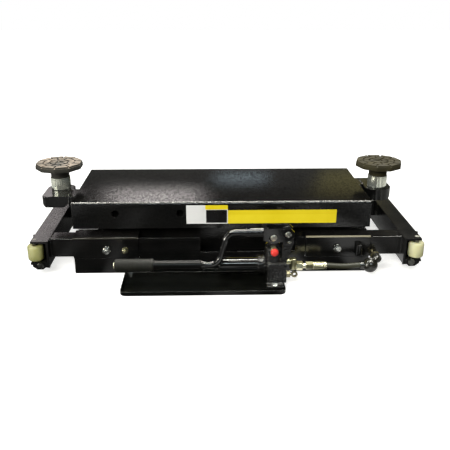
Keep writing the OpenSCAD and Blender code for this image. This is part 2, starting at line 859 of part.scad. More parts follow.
module cover() {
    color(black) difference() {
        along_x(-cover_end, cover_end) difference() {
            cover_section(cover_half, cover_top, cover_fold_r);
            translate([0, -cut])
                cover_section(cover_half - cover_wall, cover_under + cut,
                              cover_fold_r - cover_wall);
        }
        for (x = [slide_x, raised_slide_x])
            pin_y(x, top_pivot_z + 1, -cover_half - cut, cover_half + cut, grease_hole_d);
    }
}

// Channels for the top rollers, and the plates that hold the upper fixed pivots
module top_track() {
    z0 = top_pivot_z - track_h / 2;
    z1 = top_pivot_z + track_h / 2;
    x1 = raised_slide_x + roller_d / 2 + 12;
    block([track_left, top_web_y, z0 - plate_t], [x1, top_web_y + plate_t, cover_under]);
    block([track_left, top_roller_y, z1], [x1, top_web_y + plate_t, cover_under]);
    block([track_left, top_roller_y, z0 - plate_t], [x1, top_web_y + plate_t, z0]);
    difference() {
        block([pivot_x - 24, outer_leg_y, top_pivot_z - 22], [pivot_x + 24, outer_leg_y + 8, cover_under]);
        pin_y(pivot_x, top_pivot_z, outer_leg_y - cut, outer_leg_y + 8 + cut, pivot_d);
    }
}

module top_tracks() {
    color(black) both_sides() top_track();
}

// The box under the cover that guides the two arms side by side
module arm_guide() {
    color(black) difference() {
        block([-cover_end + 2, -guide_side_y - guide_wall, guide_bottom],
              [cover_end - 2, guide_side_y + guide_wall, cover_under]);
        for (s = [0, 1]) mirror([0, s, 0])
            block([-cover_end, arm_inner_y - arm_gap, arm_z - arm_gap],
                  [cover_end, guide_side_y, arm_top + arm_gap]);
    }
}

module top_pivot_pins() {
    color(zinc) both_sides()
        pin_y(pivot_x, top_pivot_z, leg_inner_y - 1, outer_leg_y + 8, pivot_d);
}

// ---------- arms and pads ----------

// The right arm lies in the rear half of its guide; the left one is the same, turned round
module arm_tube() {
    x0 = cover_end - arm_hidden;
    difference() {
        block([x0, arm_inner_y, arm_z], [head_x, arm_outer_y, arm_top]);
        block([x0 - cut, arm_inner_y + arm_wall, arm_z + arm_wall],
              [head_x - arm_wall, arm_outer_y - arm_wall, arm_top - arm_wall]);
    }
}

// A head plate that reaches from the arm round the post's bore in the middle plane, with
// its lower edge cut back at both ends
module arm_head() {
    far_x = pad_x + head_end;
    r = 12;
    difference() {
        translate([0, 0, arm_z]) linear_extrude(arm_h) {
            translate([head_x, 0]) square([far_x - r - head_x, arm_outer_y]);
            translate([far_x - r - cut, 0]) square([r + cut, arm_outer_y - r]);
            translate([far_x - r, arm_outer_y - r]) circle(r = r);
            translate([pad_x, 0]) circle(r = head_end);
            polygon([[head_x, cut], [head_x, head_foot_y], head_touch, [pad_x, 0], [pad_x, cut]]);
        }
        block([head_x - 2 * head_end, -arm_outer_y, arm_z - cut],
              [head_x, arm_outer_y, arm_top + cut]);
        along_y(-head_end - cut, arm_outer_y + cut) {
            polygon([[head_x - cut, arm_z - cut], [head_x + head_bevel, arm_z - cut],
                     [head_x - cut, arm_z + head_bevel]]);
            polygon([[far_x + cut, arm_z - cut], [far_x - far_bevel, arm_z - cut],
                     [far_x + cut, arm_z + far_bevel]]);
        }
        pin_z(pad_x, 0, arm_z - cut, arm_top + cut, stem_d + 2 * fit_gap);
    }
}

// Stacking adapter: a plated post on a stem that drops into the head's bore
module post() {
    pin_z(pad_x, 0, arm_z + 1, post_z, stem_d);
    pin_z(pad_x, 0, post_z, neck_z, post_d);
}

// Rubber pad on a neck that fits over the post's top
module pad() {
    pin_z(pad_x, 0, neck_z, pad_z, neck_d);
    pin_z(pad_x, 0, pad_z, pad_z + pad_t, pad_d);
}

// The right arm's pieces stand a little further in than the left arm's
module further_in() {
    translate([-right_in, 0, 0]) children();
}

module turned_round() {
    rotate([0, 0, 180]) children();
}

module right_arm() {
    color(black) further_in() arm_tube();
}

module left_arm() {
    color(black) turned_round() arm_tube();
}

module right_arm_head() {
    color(black) further_in() arm_head();
}

module left_arm_head() {
    color(black) turned_round() arm_head();
}

module right_post() {
    color(zinc) further_in() post();
}

module left_post() {
    color(zinc) turned_round() post();
}

module right_pad() {
    color(rubber) further_in() pad();
}

module left_pad() {
    color(rubber) turned_round() pad();
}

// ---------- end rails ----------

// A rail for the right side with its leg's inner face at x0
module rail(x0) {
    x1 = x0 + rail_flange;
    axle_x = x1 - guide_inset;
    difference() {
        union() {
            block([x0, -rail_end, rail_top - rail_t], [x1, rail_end, rail_top]);
            block([x0, -rail_end, rail_top - rail_leg], [x0 + rail_t, rail_end, rail_top]);
            both_sides() {
                block([x0, rib_y - rib_t, shelf_z], [axle_x + 10, rail_end, shelf_z + shelf_t]);
                block([x0, rib_y - rib_t, shelf_z], [axle_x + 10, rib_y, rail_top]);
                along_y(rail_end - 6, rail_end)
                    polygon([[x0, shelf_z + shelf_t], [axle_x + 6, shelf_z + shelf_t],
                             [axle_x + 6, tab_bottom + 8], [axle_x - 4, tab_bottom],
                             [axle_x - 18, tab_bottom], [axle_x - 24, tab_bottom + 5],
                             [x0, rail_top - rail_leg - 2]]);
            }
        }
        both_sides() {
            pin_z(axle_x, guide_y, shelf_z - cut, rail_top + cut, guide_axle_d);
            pin_x(wheel_y, wheel_z, x0 - cut, x0 + rail_t + cut, wheel_axle_d);
            pin_y(axle_x - tab_bolt_in, tab_bolt_z, rail_end - 7, rail_end + cut, 8);
        }
    }
}

module rail_tubes(x0, reach) {
    both_sides()
        square_tube(x0 - tube_hidden - reach_min, x0, tube_y, tube_z, tube_size, tube_wall);
}

// Axle bolts of a right rail: two guide-roller bolts, two wheel axles, two tab bolts
module rail_axles(x0) {
    axle_x = x0 + rail_flange - guide_inset;
    wheel_x = x0 + rail_t;
    both_sides() {
        pin_z(axle_x, guide_y, shelf_z, rail_top, guide_axle_d);
        hex_z(axle_x, guide_y, shelf_z - 7, shelf_z, 17);
        pin_x(wheel_y, wheel_z, x0, wheel_x + wheel_w + 5, wheel_axle_d);
        pin_x(wheel_y, wheel_z, wheel_x + wheel_w + 5, wheel_x + wheel_w + 7, wheel_axle_d + 8);
        pin_y(axle_x - tab_bolt_in, tab_bolt_z, rail_end - 7, rail_end, 8);
        hex_y(axle_x - tab_bolt_in, tab_bolt_z, rail_end, rail_end + 6, 14);
    }
}

// A guide roller with chamfered edges, at the front or the rear of a right rail
module guide_roller(x0, s) {
    axle_x = x0 + rail_flange - guide_inset;
    r = guide_d / 2;
    bore = guide_axle_d / 2 + fit_gap;
    translate([axle_x, s * guide_y, guide_z])
        rotate_extrude()
            polygon([[bore, 0], [r - guide_chamfer, 0], [r, guide_chamfer],
                     [r, guide_h - guide_chamfer], [r - guide_chamfer, guide_h],
                     [bore, guide_h]]);
}

// A load wheel under the flange of a right rail
module load_wheel(x0, s) {
    wheel_x = x0 + rail_t + 3;
    difference() {
        pin_x(s * wheel_y, wheel_z, wheel_x, wheel_x + wheel_w, wheel_d);
        pin_x(s * wheel_y, wheel_z, wheel_x - cut, wheel_x + wheel_w + cut,
              wheel_axle_d + 2 * fit_gap);
    }
}

left_x = frame_end + left_reach;
right_x = frame_end + right_reach;

module left_hand() {
    mirror([1, 0, 0]) children();
}

module right_rail() {
    color(black) rail(right_x);
}

module left_rail() {
    color(black) left_hand() rail(left_x);
}

module right_tubes() {
    color(black) rail_tubes(right_x, right_reach);
}

module left_tubes() {
    color(black) left_hand() rail_tubes(left_x, left_reach);
}

module right_axles() {
    color(zinc) rail_axles(right_x);
}

module left_axles() {
    color(zinc) left_hand() rail_axles(left_x);
}

module right_guide_front() {
    color(nylon) guide_roller(right_x, -1);
}

module right_guide_rear() {
    color(nylon) guide_roller(right_x, 1);
}

module left_guide_front() {
    color(nylon) left_hand() guide_roller(left_x, -1);
}

module left_guide_rear() {
    color(nylon) left_hand() guide_roller(left_x, 1);
}

module right_wheel_front() {
    color(steel) load_wheel(right_x, -1);
}

module right_wheel_rear() {
    color(steel) load_wheel(right_x, 1);
}

module left_wheel_front() {
    color(steel) left_hand() load_wheel(left_x, -1);
}

module left_wheel_rear() {
    color(steel) left_hand() load_wheel(left_x, 1);
}

// ---------- pump lever ----------

// Two plates on a fulcrum, slotted for the plunger's pin, with the crank's socket and the
// screw that holds the crank
module pump_lever() {
    color(black) difference() {
        union() {
            for (s = [-1, 1])
                along_y(plunger_axis_y + s * lever_in, plunger_axis_y + s * lever_out) {
                    polygon([[plate_left, socket_z + plate_rise],
                             [fulcrum_x + 6, socket_z + plate_rise],
                             [fulcrum_x + 14, fulcrum_z + 5], [fulcrum_x + 13, fulcrum_z - 4],
                             [fulcrum_x, fulcrum_z - 14], [plunger_x, plunger_pin_z - 14],
                             [plate_left, socket_z - plate_rise]]);
                    translate([fulcrum_x, fulcrum_z]) circle(d = 26);
                }
            pin_x(plunger_axis_y, socket_z, socket_left, socket_right, socket_d);
            block([plate_left, plunger_axis_y - lever_in, socket_z - 10],
                  [socket_right, plunger_axis_y + lever_in, socket_z + plate_rise]);
            pin_z(socket_left + 5, plunger_axis_y, socket_z, socket_z + socket_d / 2 + 6, 8);
        }
        pin_x(plunger_axis_y, socket_z, socket_left - cut, crank_in, crank_d);
        pin_y(fulcrum_x, fulcrum_z, plunger_axis_y - lever_out - cut,
              plunger_axis_y + lever_out + cut, lever_pin_d + 2 * fit_gap);
        along_y(plunger_axis_y - lever_out - cut, plunger_axis_y + lever_out + cut)
            translate([fulcrum_x, fulcrum_z]) rotate(180 + slot_angle)
                translate([fulcrum_dx - 2, 0]) round_bar(9, slot_d);
    }
}

// One bend of the crank, from its start at the angle from. A cold-bent rod swells a little
module crank_bend(x, z, from) {
    translate([x, 0, z]) rotate([90, 0, 0]) rotate(from)
        rotate_extrude(angle = bend_angle) translate([bend_r, 0]) circle(d = crank_d + 0.4);
}

// Handle: a tube at the grip's end, swaged onto a crank whose other end fits the socket
module pump_handle() {
    lap = 1;
    color(black) translate([0, plunger_axis_y, 0]) {
        pin_x(0, socket_z, bend_top_x - lap, crank_in, crank_d);
        pin_x(0, grip_z, swage_x - lap, bend_foot_x + lap, crank_d);
        crank_bend(bend_top_x, socket_z - bend_r, 90);
        crank_bend(bend_foot_x, grip_z + bend_r, -90);
        translate([bend_foot_x + bend_r * sin(bend_angle), 0, grip_z + bend_lift])
            rotate([0, 90 - bend_angle, 0])
                translate([0, 0, -lap]) cylinder(h = steep_len + 2 * lap, d = crank_d);
        pin_x(0, grip_z, grip_left + grip_end, swage_x - swage_len, handle_d);
        translate([swage_x - swage_len - lap, 0, grip_z]) rotate([0, 90, 0])
            cylinder(h = swage_len + lap, d1 = handle_d - 0.6, d2 = crank_d + 1);
    }
}

module handle_grip() {
    color(rubber) difference() {
        union() {
            pin_x(plunger_axis_y, grip_z, grip_left, grip_left + grip_end, grip_d - 6);
            pin_x(plunger_axis_y, grip_z, grip_left + 2, grip_left + grip_len, grip_d);
        }
        pin_x(plunger_axis_y, grip_z, grip_left + grip_end, grip_left + grip_len + cut, handle_d);
    }
}

// Plunger with the cross pin that rides in the lever's slots
module pump_plunger() {
    color(zinc) {
        pin_z(plunger_x, plunger_axis_y, 40, plunger_pin_z, plunger_d);
        pin_y(plunger_x, plunger_pin_z, plunger_axis_y - ear_out, plunger_axis_y + ear_out, 14);
        pin_y(plunger_x, plunger_pin_z, plunger_axis_y - lever_out - 0.4,
              plunger_axis_y + lever_out + 0.4, lever_pin_d);
        for (s = [-1, 1])
            pin_y(plunger_x, plunger_pin_z, plunger_axis_y + s * (lever_out + 0.4),
                  plunger_axis_y + s * (lever_out + 3), 14);
    }
}

// Release valve: a hex body with a flat eye to turn it by
module release_knob() {
    z = 30;
    y = plunger_axis_y - 6;
    color(gold_zinc) {
        hex_x(y, z, body_right + 0.4, body_right + 9, 15);
        pin_x(y, z, body_right + 9, body_right + 14, 8);
    }
    color(black) difference() {
        pin_y(body_right + 19, z, y - 2.5, y + 2.5, 15);
        pin_y(body_right + 19, z, y - 3.5, y + 3.5, 7);
    }
}

side_plates();
side_tracks();
tube_sleeves();
cross_ties();
base_pivot_shaft();
clamp_bolts();
pump_tray();
pump_body();
reservoir();
plunger_gland();
relief_valve();
relief_cap();
fulcrum_pins();
pump_bolts();
hose_fittings();
hydraulic_hose();
swivel_elbow();
pressure_line();
cylinder_barrel();
cylinder_gland();
outer_legs();
outer_cross_tube();
leg_pins();
top_rollers();
inner_legs();
inner_cross_tube();
rod_shaft();
base_rollers();
cylinder_rod();
cover();
top_tracks();
arm_guide();
top_pivot_pins();
left_arm();
left_arm_head();
right_arm();
right_arm_head();
left_post();
left_pad();
right_post();
right_pad();
left_rail();
left_tubes();
left_axles();
right_rail();
right_tubes();
right_axles();
left_guide_front();
left_guide_rear();
right_guide_front();
right_guide_rear();
left_wheel_front();
left_wheel_rear();
right_wheel_front();
right_wheel_rear();
pump_lever();
pump_handle();
handle_grip();
pump_plunger();
release_knob();
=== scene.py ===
import json
import math

import bmesh
import bpy
from mathutils import Matrix, Vector

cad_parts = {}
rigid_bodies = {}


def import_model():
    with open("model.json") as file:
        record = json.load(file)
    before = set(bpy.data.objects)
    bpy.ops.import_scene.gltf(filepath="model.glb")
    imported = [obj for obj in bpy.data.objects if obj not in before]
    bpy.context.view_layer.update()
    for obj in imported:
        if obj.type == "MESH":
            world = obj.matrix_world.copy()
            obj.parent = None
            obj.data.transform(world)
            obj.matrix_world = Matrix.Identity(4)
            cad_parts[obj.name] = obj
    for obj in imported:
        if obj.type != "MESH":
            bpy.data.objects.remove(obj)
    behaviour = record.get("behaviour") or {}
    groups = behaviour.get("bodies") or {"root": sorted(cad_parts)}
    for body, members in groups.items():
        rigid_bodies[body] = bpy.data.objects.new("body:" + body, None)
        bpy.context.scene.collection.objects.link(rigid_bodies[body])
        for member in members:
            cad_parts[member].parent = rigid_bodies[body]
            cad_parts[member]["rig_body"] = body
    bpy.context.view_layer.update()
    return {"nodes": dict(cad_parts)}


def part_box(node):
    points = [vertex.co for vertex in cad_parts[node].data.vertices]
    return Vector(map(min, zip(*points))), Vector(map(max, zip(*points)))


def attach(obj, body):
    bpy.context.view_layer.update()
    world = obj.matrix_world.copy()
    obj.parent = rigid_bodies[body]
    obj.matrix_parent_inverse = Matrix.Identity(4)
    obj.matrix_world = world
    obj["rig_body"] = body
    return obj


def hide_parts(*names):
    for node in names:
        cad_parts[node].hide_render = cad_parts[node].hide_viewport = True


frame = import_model()

# --------------------------------------
# Camera. It stands a metre and a half in front of the pump's side, close to the
# middle, and looks down at the jack by about 21 degrees.
camera_place = Vector((-0.03403, -1.53398, 0.64545))
camera_yaw = 0.02902
camera_pitch = 0.36496
camera_roll = 0.00248

forward = Vector((math.sin(camera_yaw) * math.cos(camera_pitch),
                  math.cos(camera_yaw) * math.cos(camera_pitch),
                  -math.sin(camera_pitch)))
right = Vector((math.cos(camera_yaw), -math.sin(camera_yaw), 0))
up = right.cross(forward)
level_right = math.cos(camera_roll) * right + math.sin(camera_roll) * up
level_up = math.cos(camera_roll) * up - math.sin(camera_roll) * right

lens = bpy.data.cameras.new("camera")
lens.sensor_width = 36
lens.lens = 50.6
lens.clip_end = 50
camera = bpy.data.objects.new("camera", lens)
turn_to_jack = Matrix((level_right, level_up, -forward)).transposed()
camera.matrix_world = Matrix.Translation(camera_place) @ turn_to_jack.to_4x4()
bpy.context.scene.collection.objects.link(camera)
bpy.context.scene.camera = camera

# --------------------------------------
# Hydraulic hose. A short rubber hose from the pump's crimped ferrule to the
# collar of the swivel elbow. Both ends are fixed, so it dips by 2.4 mm only.
hose_start = 0.239
hose_end = 0.319
hose_y = -0.204
hose_z = 0.035
hose_dip = 0.0024
hose_across = 0.013
hose_steps = 20


def add_node(tree, kind, inputs=None, **settings):
    """Adds a shader node with its settings. An input, by its name or its number, gets a
    constant or another node's output."""
    node = tree.nodes.new("ShaderNode" + kind)
    for key, value in settings.items():
        setattr(node, key, value)
    for key, value in (inputs or {}).items():
        if isinstance(value, bpy.types.NodeSocket):
            tree.links.new(value, node.inputs[key])
        else:
            node.inputs[key].default_value = value
    return node


def reckon(tree, operation, *values):
    """The result of a mathematical operation on constants or outputs."""
    return add_node(tree, "Math", dict(enumerate(values)), operation=operation).outputs["Value"]


def ramp(tree, value, low, high, start=0.0, end=1.0):
    """Goes from start to end while a value goes from low to high."""
    return add_node(tree, "MapRange", {"Value": value, "From Min": low, "From Max": high,
                                       "To Min": start, "To Max": end}).outputs["Result"]


def blend(tree, factor, first, second):
    """Goes from the first colour to the second by a factor."""
    return add_node(tree, "Mix", {"Factor": factor, "A": first, "B": second},
                    data_type="RGBA").outputs["Result"]


def clouds(tree, place, scale, detail, roughness=0.5):
    """Soft noise with scale cells to the metre."""
    return add_node(tree, "TexNoise", {"Vector": place, "Scale": scale, "Detail": detail,
                                       "Roughness": roughness}).outputs["Fac"]


def where(tree, axis=None):
    """The place on the object, or one coordinate of it."""
    place = add_node(tree, "TexCoord").outputs["Object"]
    if axis is None:
        return place
    return add_node(tree, "SeparateXYZ", {"Vector": place}).outputs[axis]


def new_group(name, takes, gives):
    """A node group, with the outputs of its entry and the inputs of its exit."""
    tree = bpy.data.node_groups.new(name, "ShaderNodeTree")
    for way, sockets in (("INPUT", takes), ("OUTPUT", gives)):
        for socket, kind in sockets:
            tree.interface.new_socket(socket, in_out=way, socket_type="NodeSocket" + kind)
    return tree, tree.nodes.new("NodeGroupInput").outputs, tree.nodes.new("NodeGroupOutput").inputs


grain_tree, grain_in, grain_out = new_group("surface grain",
                                            (("Cells", "Float"), ("Stretch", "Vector")),
                                            (("Fine", "Float"), ("Patches", "Float")))
grain_place = where(grain_tree)
grain_stretched = add_node(grain_tree, "VectorMath", {0: grain_place, 1: grain_in["Stretch"]},
                           operation="MULTIPLY").outputs["Vector"]
grain_tree.links.new(clouds(grain_tree, grain_stretched, grain_in["Cells"], 2), grain_out["Fine"])
grain_tree.links.new(clouds(grain_tree, grain_place, 16, 4), grain_out["Patches"])

dust_tree, dust_in, dust_out = new_group("settled dust", (("Amount", "Float"),),
                                         (("Dust", "Float"),))
dust_side = add_node(dust_tree, "TexCoord").outputs["Normal"]
dust_facing = add_node(dust_tree, "SeparateXYZ", {"Vector": dust_side}).outputs["Z"]
dust_patches = clouds(dust_tree, where(dust_tree), 26, 7, 0.68)
dust_laid = reckon(dust_tree, "MULTIPLY", ramp(dust_tree, dust_facing, 0.35, 0.95),
                   ramp(dust_tree, dust_patches, 0.36, 0.72))
dust_tree.links.new(reckon(dust_tree, "MULTIPLY", dust_laid, dust_in["Amount"]), dust_out["Dust"])

patch_low = 0.32
patch_high = 0.68


def worked_finish(name, dark, light, cells, stretch, smooth, rough, depth, dust=0.0,
                  dust_tone=(0.20, 0.185, 0.16)):
    """A finish whose tone runs from dark to light in patches, with a grain that is
    cells to the metre, depth deep and stretched along an axis, under settled dust."""
    finish = bpy.data.materials.new(name)
    finish.use_nodes = True
    tree = finish.node_tree
    surface = tree.nodes["Principled BSDF"].inputs
    grain = add_node(tree, "Group", {"Cells": cells, "Stretch": stretch},
                     node_tree=grain_tree).outputs
    colour = blend(tree, ramp(tree, grain["Patches"], patch_low, patch_high),
                   (*dark, 1), (*light, 1))
    if dust > 0:
        fall = add_node(tree, "Group", {"Amount": dust}, node_tree=dust_tree)
        colour = blend(tree, fall.outputs["Dust"], colour, (*dust_tone, 1))
    bump = add_node(tree, "Bump", {"Strength": 1, "Distance": depth, "Height": grain["Fine"]})
    tree.links.new(colour, surface["Base Color"])
    tree.links.new(ramp(tree, grain["Patches"], patch_low, patch_high, smooth, rough),
                   surface["Roughness"])
    tree.links.new(bump.outputs["Normal"], surface["Normal"])
    return finish


hose_rubber = worked_finish("hose rubber", (0.023, 0.023, 0.012), (0.042, 0.042, 0.021),
                            900, (2.4, 0.5, 0.5), 0.42, 0.56, 0.00012, 0.25, (0.09, 0.09, 0.06))

hose_line = bpy.data.curves.new("hose", "CURVE")
hose_line.dimensions = "3D"
hose_line.bevel_depth = hose_across / 2
hose_line.bevel_resolution = 5
hose_line.use_fill_caps = True
hose_spline = hose_line.splines.new("POLY")
hose_spline.points.add(hose_steps)
for count, point in enumerate(hose_spline.points):
    part_way = count / hose_steps
    point.co = (hose_start + part_way * (hose_end - hose_start), hose_y,
                hose_z - hose_dip * math.sin(math.pi * part_way) ** 2, 1)
hose_line.materials.append(hose_rubber)
hose = bpy.data.objects.new("hydraulic_hose_piece", hose_line)
bpy.context.scene.collection.objects.link(hose)
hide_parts("hydraulic_hose")
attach(hose, "base")

# --------------------------------------
# Studio. A pale floor that keeps the jack's shadow, a white surround, and dim
# walls with strip lamps, so that black paint stays black between its glints.
# In reflections the floor is dark but for a few bright lanes and its far ends.
bpy.context.scene.view_settings.view_transform = "Standard"

floor_paint = bpy.data.materials.new("floor")
floor_paint.use_nodes = True
floor_tree = floor_paint.node_tree
floor_tree.nodes.clear()
floor_ray = add_node(floor_tree, "LightPath").outputs
floor_x = where(floor_tree, "X")
floor_y = where(floor_tree, "Y")
floor_far = add_node(floor_tree, "VectorMath", {0: where(floor_tree)},
                     operation="LENGTH").outputs["Value"]
floor_lanes = add_node(floor_tree, "Mapping", {"Vector": where(floor_tree),
                                               "Scale": (1, 0.12, 1)}).outputs["Vector"]
floor_stripes = clouds(floor_tree, floor_lanes, 9, 1)
bright_lanes = ramp(floor_tree, floor_stripes, 0.54, 0.66, 0.02, 1)
far_ends = reckon(floor_tree, "MULTIPLY",
                  ramp(floor_tree, reckon(floor_tree, "ABSOLUTE", floor_x), 0.42, 0.56, 0, 0.8),
                  ramp(floor_tree, floor_stripes, 0.40, 0.56, 0.06, 1))
mirrored = reckon(floor_tree, "MULTIPLY", reckon(floor_tree, "MAXIMUM", far_ends, bright_lanes),
                  floor_ray["Is Glossy Ray"])

# The floor's glow for the camera is cut under the frame, a painted contact shadow: left of it,
# right of it, and before and behind it, the floor is open.
left_edge = reckon(floor_tree, "MULTIPLY_ADD", floor_y, 0.3, floor_x)
from_middle = reckon(floor_tree, "ABSOLUTE", reckon(floor_tree, "SUBTRACT", floor_y, 0.025))
open_ends = reckon(floor_tree, "MAXIMUM", ramp(floor_tree, left_edge, -0.350, -0.365),
                   ramp(floor_tree, floor_x, 0.330, 0.345))
floor_outside_painted_shadow = reckon(floor_tree, "MAXIMUM", open_ends,
                    ramp(floor_tree, from_middle, 0.155, 0.175))
# Painted shadow: the camera sees the floor's glow only outside the shade box under the frame.
shown = reckon(floor_tree, "MULTIPLY", ramp(floor_tree, floor_far, 0.45, 1.15, 0.62, 1),
               floor_outside_painted_shadow)
floor_glow = add_node(floor_tree, "Emission", {
    "Color": (1, 1, 0.97, 1),
    "Strength": reckon(floor_tree, "MULTIPLY_ADD", floor_ray["Is Camera Ray"], shown, mirrored)})
floor_diffuse = add_node(floor_tree, "BsdfDiffuse", {
    "Color": blend(floor_tree, floor_ray["Is Camera Ray"], (0.035, 0.035, 0.033, 1),
                   (0.86, 0.86, 0.86, 1))})
floor_sum = add_node(floor_tree, "AddShader", {0: floor_diffuse.outputs["BSDF"],
                                               1: floor_glow.outputs["Emission"]})
add_node(floor_tree, "OutputMaterial", {"Surface": floor_sum.outputs["Shader"]})

floor_mesh = bpy.data.meshes.new("floor")
floor_shape = bmesh.new()
bmesh.ops.create_grid(floor_shape, x_segments=1, y_segments=1, size=8)
floor_shape.to_mesh(floor_mesh)
floor_shape.free()
floor_mesh.materials.append(floor_paint)
floor = bpy.data.objects.new("floor", floor_mesh)
floor.location.z = -0.0005
bpy.context.scene.collection.objects.link(floor)

world = bpy.data.worlds.new("studio")
world.use_nodes = True
bpy.context.scene.world = world
sky_tree = world.node_tree
sky_tree.nodes.clear()
sky_ray = add_node(sky_tree, "LightPath").outputs
sky_seen = reckon(sky_tree, "MAXIMUM", sky_ray["Is Camera Ray"], sky_ray["Is Transmission Ray"])
sky_tone = blend(sky_tree, sky_ray["Is Glossy Ray"],
                 blend(sky_tree, sky_seen, (0.22, 0.22, 0.22, 1), (1, 1, 1, 1)),
                 (0.055, 0.055, 0.050, 1))
sky_back = add_node(sky_tree, "Background", {"Color": sky_tone})
add_node(sky_tree, "OutputWorld", {"Surface": sky_back.outputs["Background"]})


def soft_lamp(name, place, aim, width, depth, power, tint, lights="both"):
    """A flat soft lamp that faces a point, for matt surfaces, for glints or for both."""
    light = bpy.data.lights.new(name, "AREA")
    light.shape = "RECTANGLE"
    light.size = width
    light.size_y = depth
    light.energy = power
    light.color = tint
    lamp = bpy.data.objects.new(name, light)
    lamp.location = place
    lamp.rotation_euler = (Vector(aim) - Vector(place)).to_track_quat("-Z", "Y").to_euler()
    lamp.visible_diffuse = lights != "glints"
    lamp.visible_glossy = lights != "matt"
    bpy.context.scene.collection.objects.link(lamp)


soft_lamp("overhead lamp", (0, -0.1, 2.5), (0, 0, 0), 2.6, 1.6, 34, (1, 0.99, 0.96), "matt")
soft_lamp("front lamp", (-0.8, -2.4, 1.6), (0, 0, 0.1), 1.4, 0.9, 72, (1, 0.99, 0.96), "matt")
soft_lamp("left lamp", (-3.0, -0.9, 0.9), (-0.3, 0, 0.1), 0.5, 0.5, 10, (1, 0.97, 0.94))
soft_lamp("left window", (-2.6, -2.2, 1.5), (0, -0.2, 0.1), 0.3, 1.8, 26,
          (1, 0.98, 0.88), "glints")
soft_lamp("low left window", (-2.6, -1.5, 0.30), (0.1, -0.23, 0.08), 0.7, 0.5, 44,
          (1, 0.97, 0.86), "glints")
soft_lamp("first ceiling strip", (0, -1.15, 2.0), (0, -1.15, 0), 3.0, 0.10, 9,
          (1, 0.98, 0.86), "glints")
soft_lamp("second ceiling strip", (0, -0.35, 2.0), (0, -0.35, 0), 3.0, 0.14, 100,
          (1, 0.99, 0.90), "glints")
soft_lamp("third ceiling strip", (0, 1.7, 2.3), (0, 0, 0.15), 3.2, 0.25, 200,
          (1, 0.97, 0.88), "glints")
soft_lamp("window behind the camera", (0.2, -4.0, 2.9), (0, 0, 0.1), 2.6, 0.22, 50,
          (0.84, 0.96, 1), "glints")
soft_lamp("back wall glow", (0, 3.7, 1.1), (0, 0, 0.17), 4.4, 1.2, 0.5, (1, 0.98, 0.96))
soft_lamp("back left lamp", (-0.49, 3.5, 1.88), (-0.25, -0.1, 0.17), 0.75, 0.75, 4.2,
          (1, 0.93, 0.91))
soft_lamp("back corner lamp", (-1.55, 3.5, 1.50), (-0.4, -0.1, 0.12), 0.7, 0.9, 3.0,
          (1, 0.92, 0.92))
soft_lamp("back middle lamp", (0.24, 3.5, 1.03), (0, 0.1, 0.17), 0.4, 0.22, 0.26, (0.72, 0.90, 1))
soft_lamp("back right lamp", (1.14, 3.5, 1.25), (0.3, 0, 0.17), 0.5, 1.0, 0.32, (1, 0.86, 0.20))

# --------------------------------------
# Cover. A folded 4 mm steel sheet with open ends and gloss black powder coat.
# Two greasing holes go through each skirt. The coat's gloss varies in a fine
# orange peel.
cover_half = 0.350
cover_side = 0.144
cover_top = 0.171
cover_foot = 0.107
cover_wall = 0.004
cover_fold = 0.006
grease_holes = (-0.2496, -0.09864)
grease_hole_across = 0.017
grease_hole_z = 0.144
smooth_black = 1.48


def add_piece(name, shape, finish, body, ease=0.0, steps=2, sharp=32):
    """Makes a piece of a mesh, with its edges eased, that moves with a body."""
    bmesh.ops.remove_doubles(shape, verts=shape.verts, dist=0.000002)
    bmesh.ops.recalc_face_normals(shape, faces=shape.faces)
    for face in shape.faces:
        face.smooth = True
    mesh = bpy.data.meshes.new(name)
    shape.to_mesh(mesh)
    shape.free()
    mesh.set_sharp_from_angle(angle=math.radians(sharp))
    mesh.materials.append(finish)
    piece = bpy.data.objects.new(name, mesh)
    bpy.context.scene.collection.objects.link(piece)
    if ease > 0:
        rounding = piece.modifiers.new("eased edges", "BEVEL")
        rounding.width = ease
        rounding.segments = steps
        rounding.limit_method = "ANGLE"
        rounding.angle_limit = math.radians(sharp)
        rounding.harden_normals = True
    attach(piece, body)
    return piece


def stand_in(node, shape, finish, ease=0.0, steps=2, sharp=32, name=None):
    """Makes a piece that stands for a CAD piece and moves with its body."""
    body = frame["nodes"][node]["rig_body"]
    piece = add_piece(name or node + "_piece", shape, finish, body, ease, steps, sharp)
    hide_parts(node)
    return piece


def add_slab(shape, low, high):
    """Adds a block between two corners to a mesh, and gives its corners back."""
    low = Vector(low)
    high = Vector(high)
    place = Matrix.Translation((low + high) / 2) @ Matrix.Diagonal((*(high - low), 1))
    return bmesh.ops.create_cube(shape, size=1, matrix=place)["verts"]


def set_shader(finish, values):
    """Sets the shader's own sockets by their names."""
    for socket, value in values.items():
        finish.node_tree.nodes["Principled BSDF"].inputs[socket].default_value = value


cover_coat = worked_finish("cover coat", (0.0022, 0.0024, 0.0024), (0.0050, 0.0050, 0.0045),
                           560, (1.0, 0.8, 0.8), 0.05, 0.10, 0.00018, 0.02)
set_shader(cover_coat, {"IOR": smooth_black})
cover_tree = cover_coat.node_tree
peel_place = add_node(cover_tree, "Mapping", {"Vector": where(cover_tree), "Scale": (1, 0.36, 1)})
peel = clouds(cover_tree, peel_place.outputs["Vector"], 330, 0)
cover_tree.links.new(ramp(cover_tree, peel, 0.30, 0.70, 0.16, 0.90),
                     cover_tree.nodes["Principled BSDF"].inputs["Specular IOR Level"])

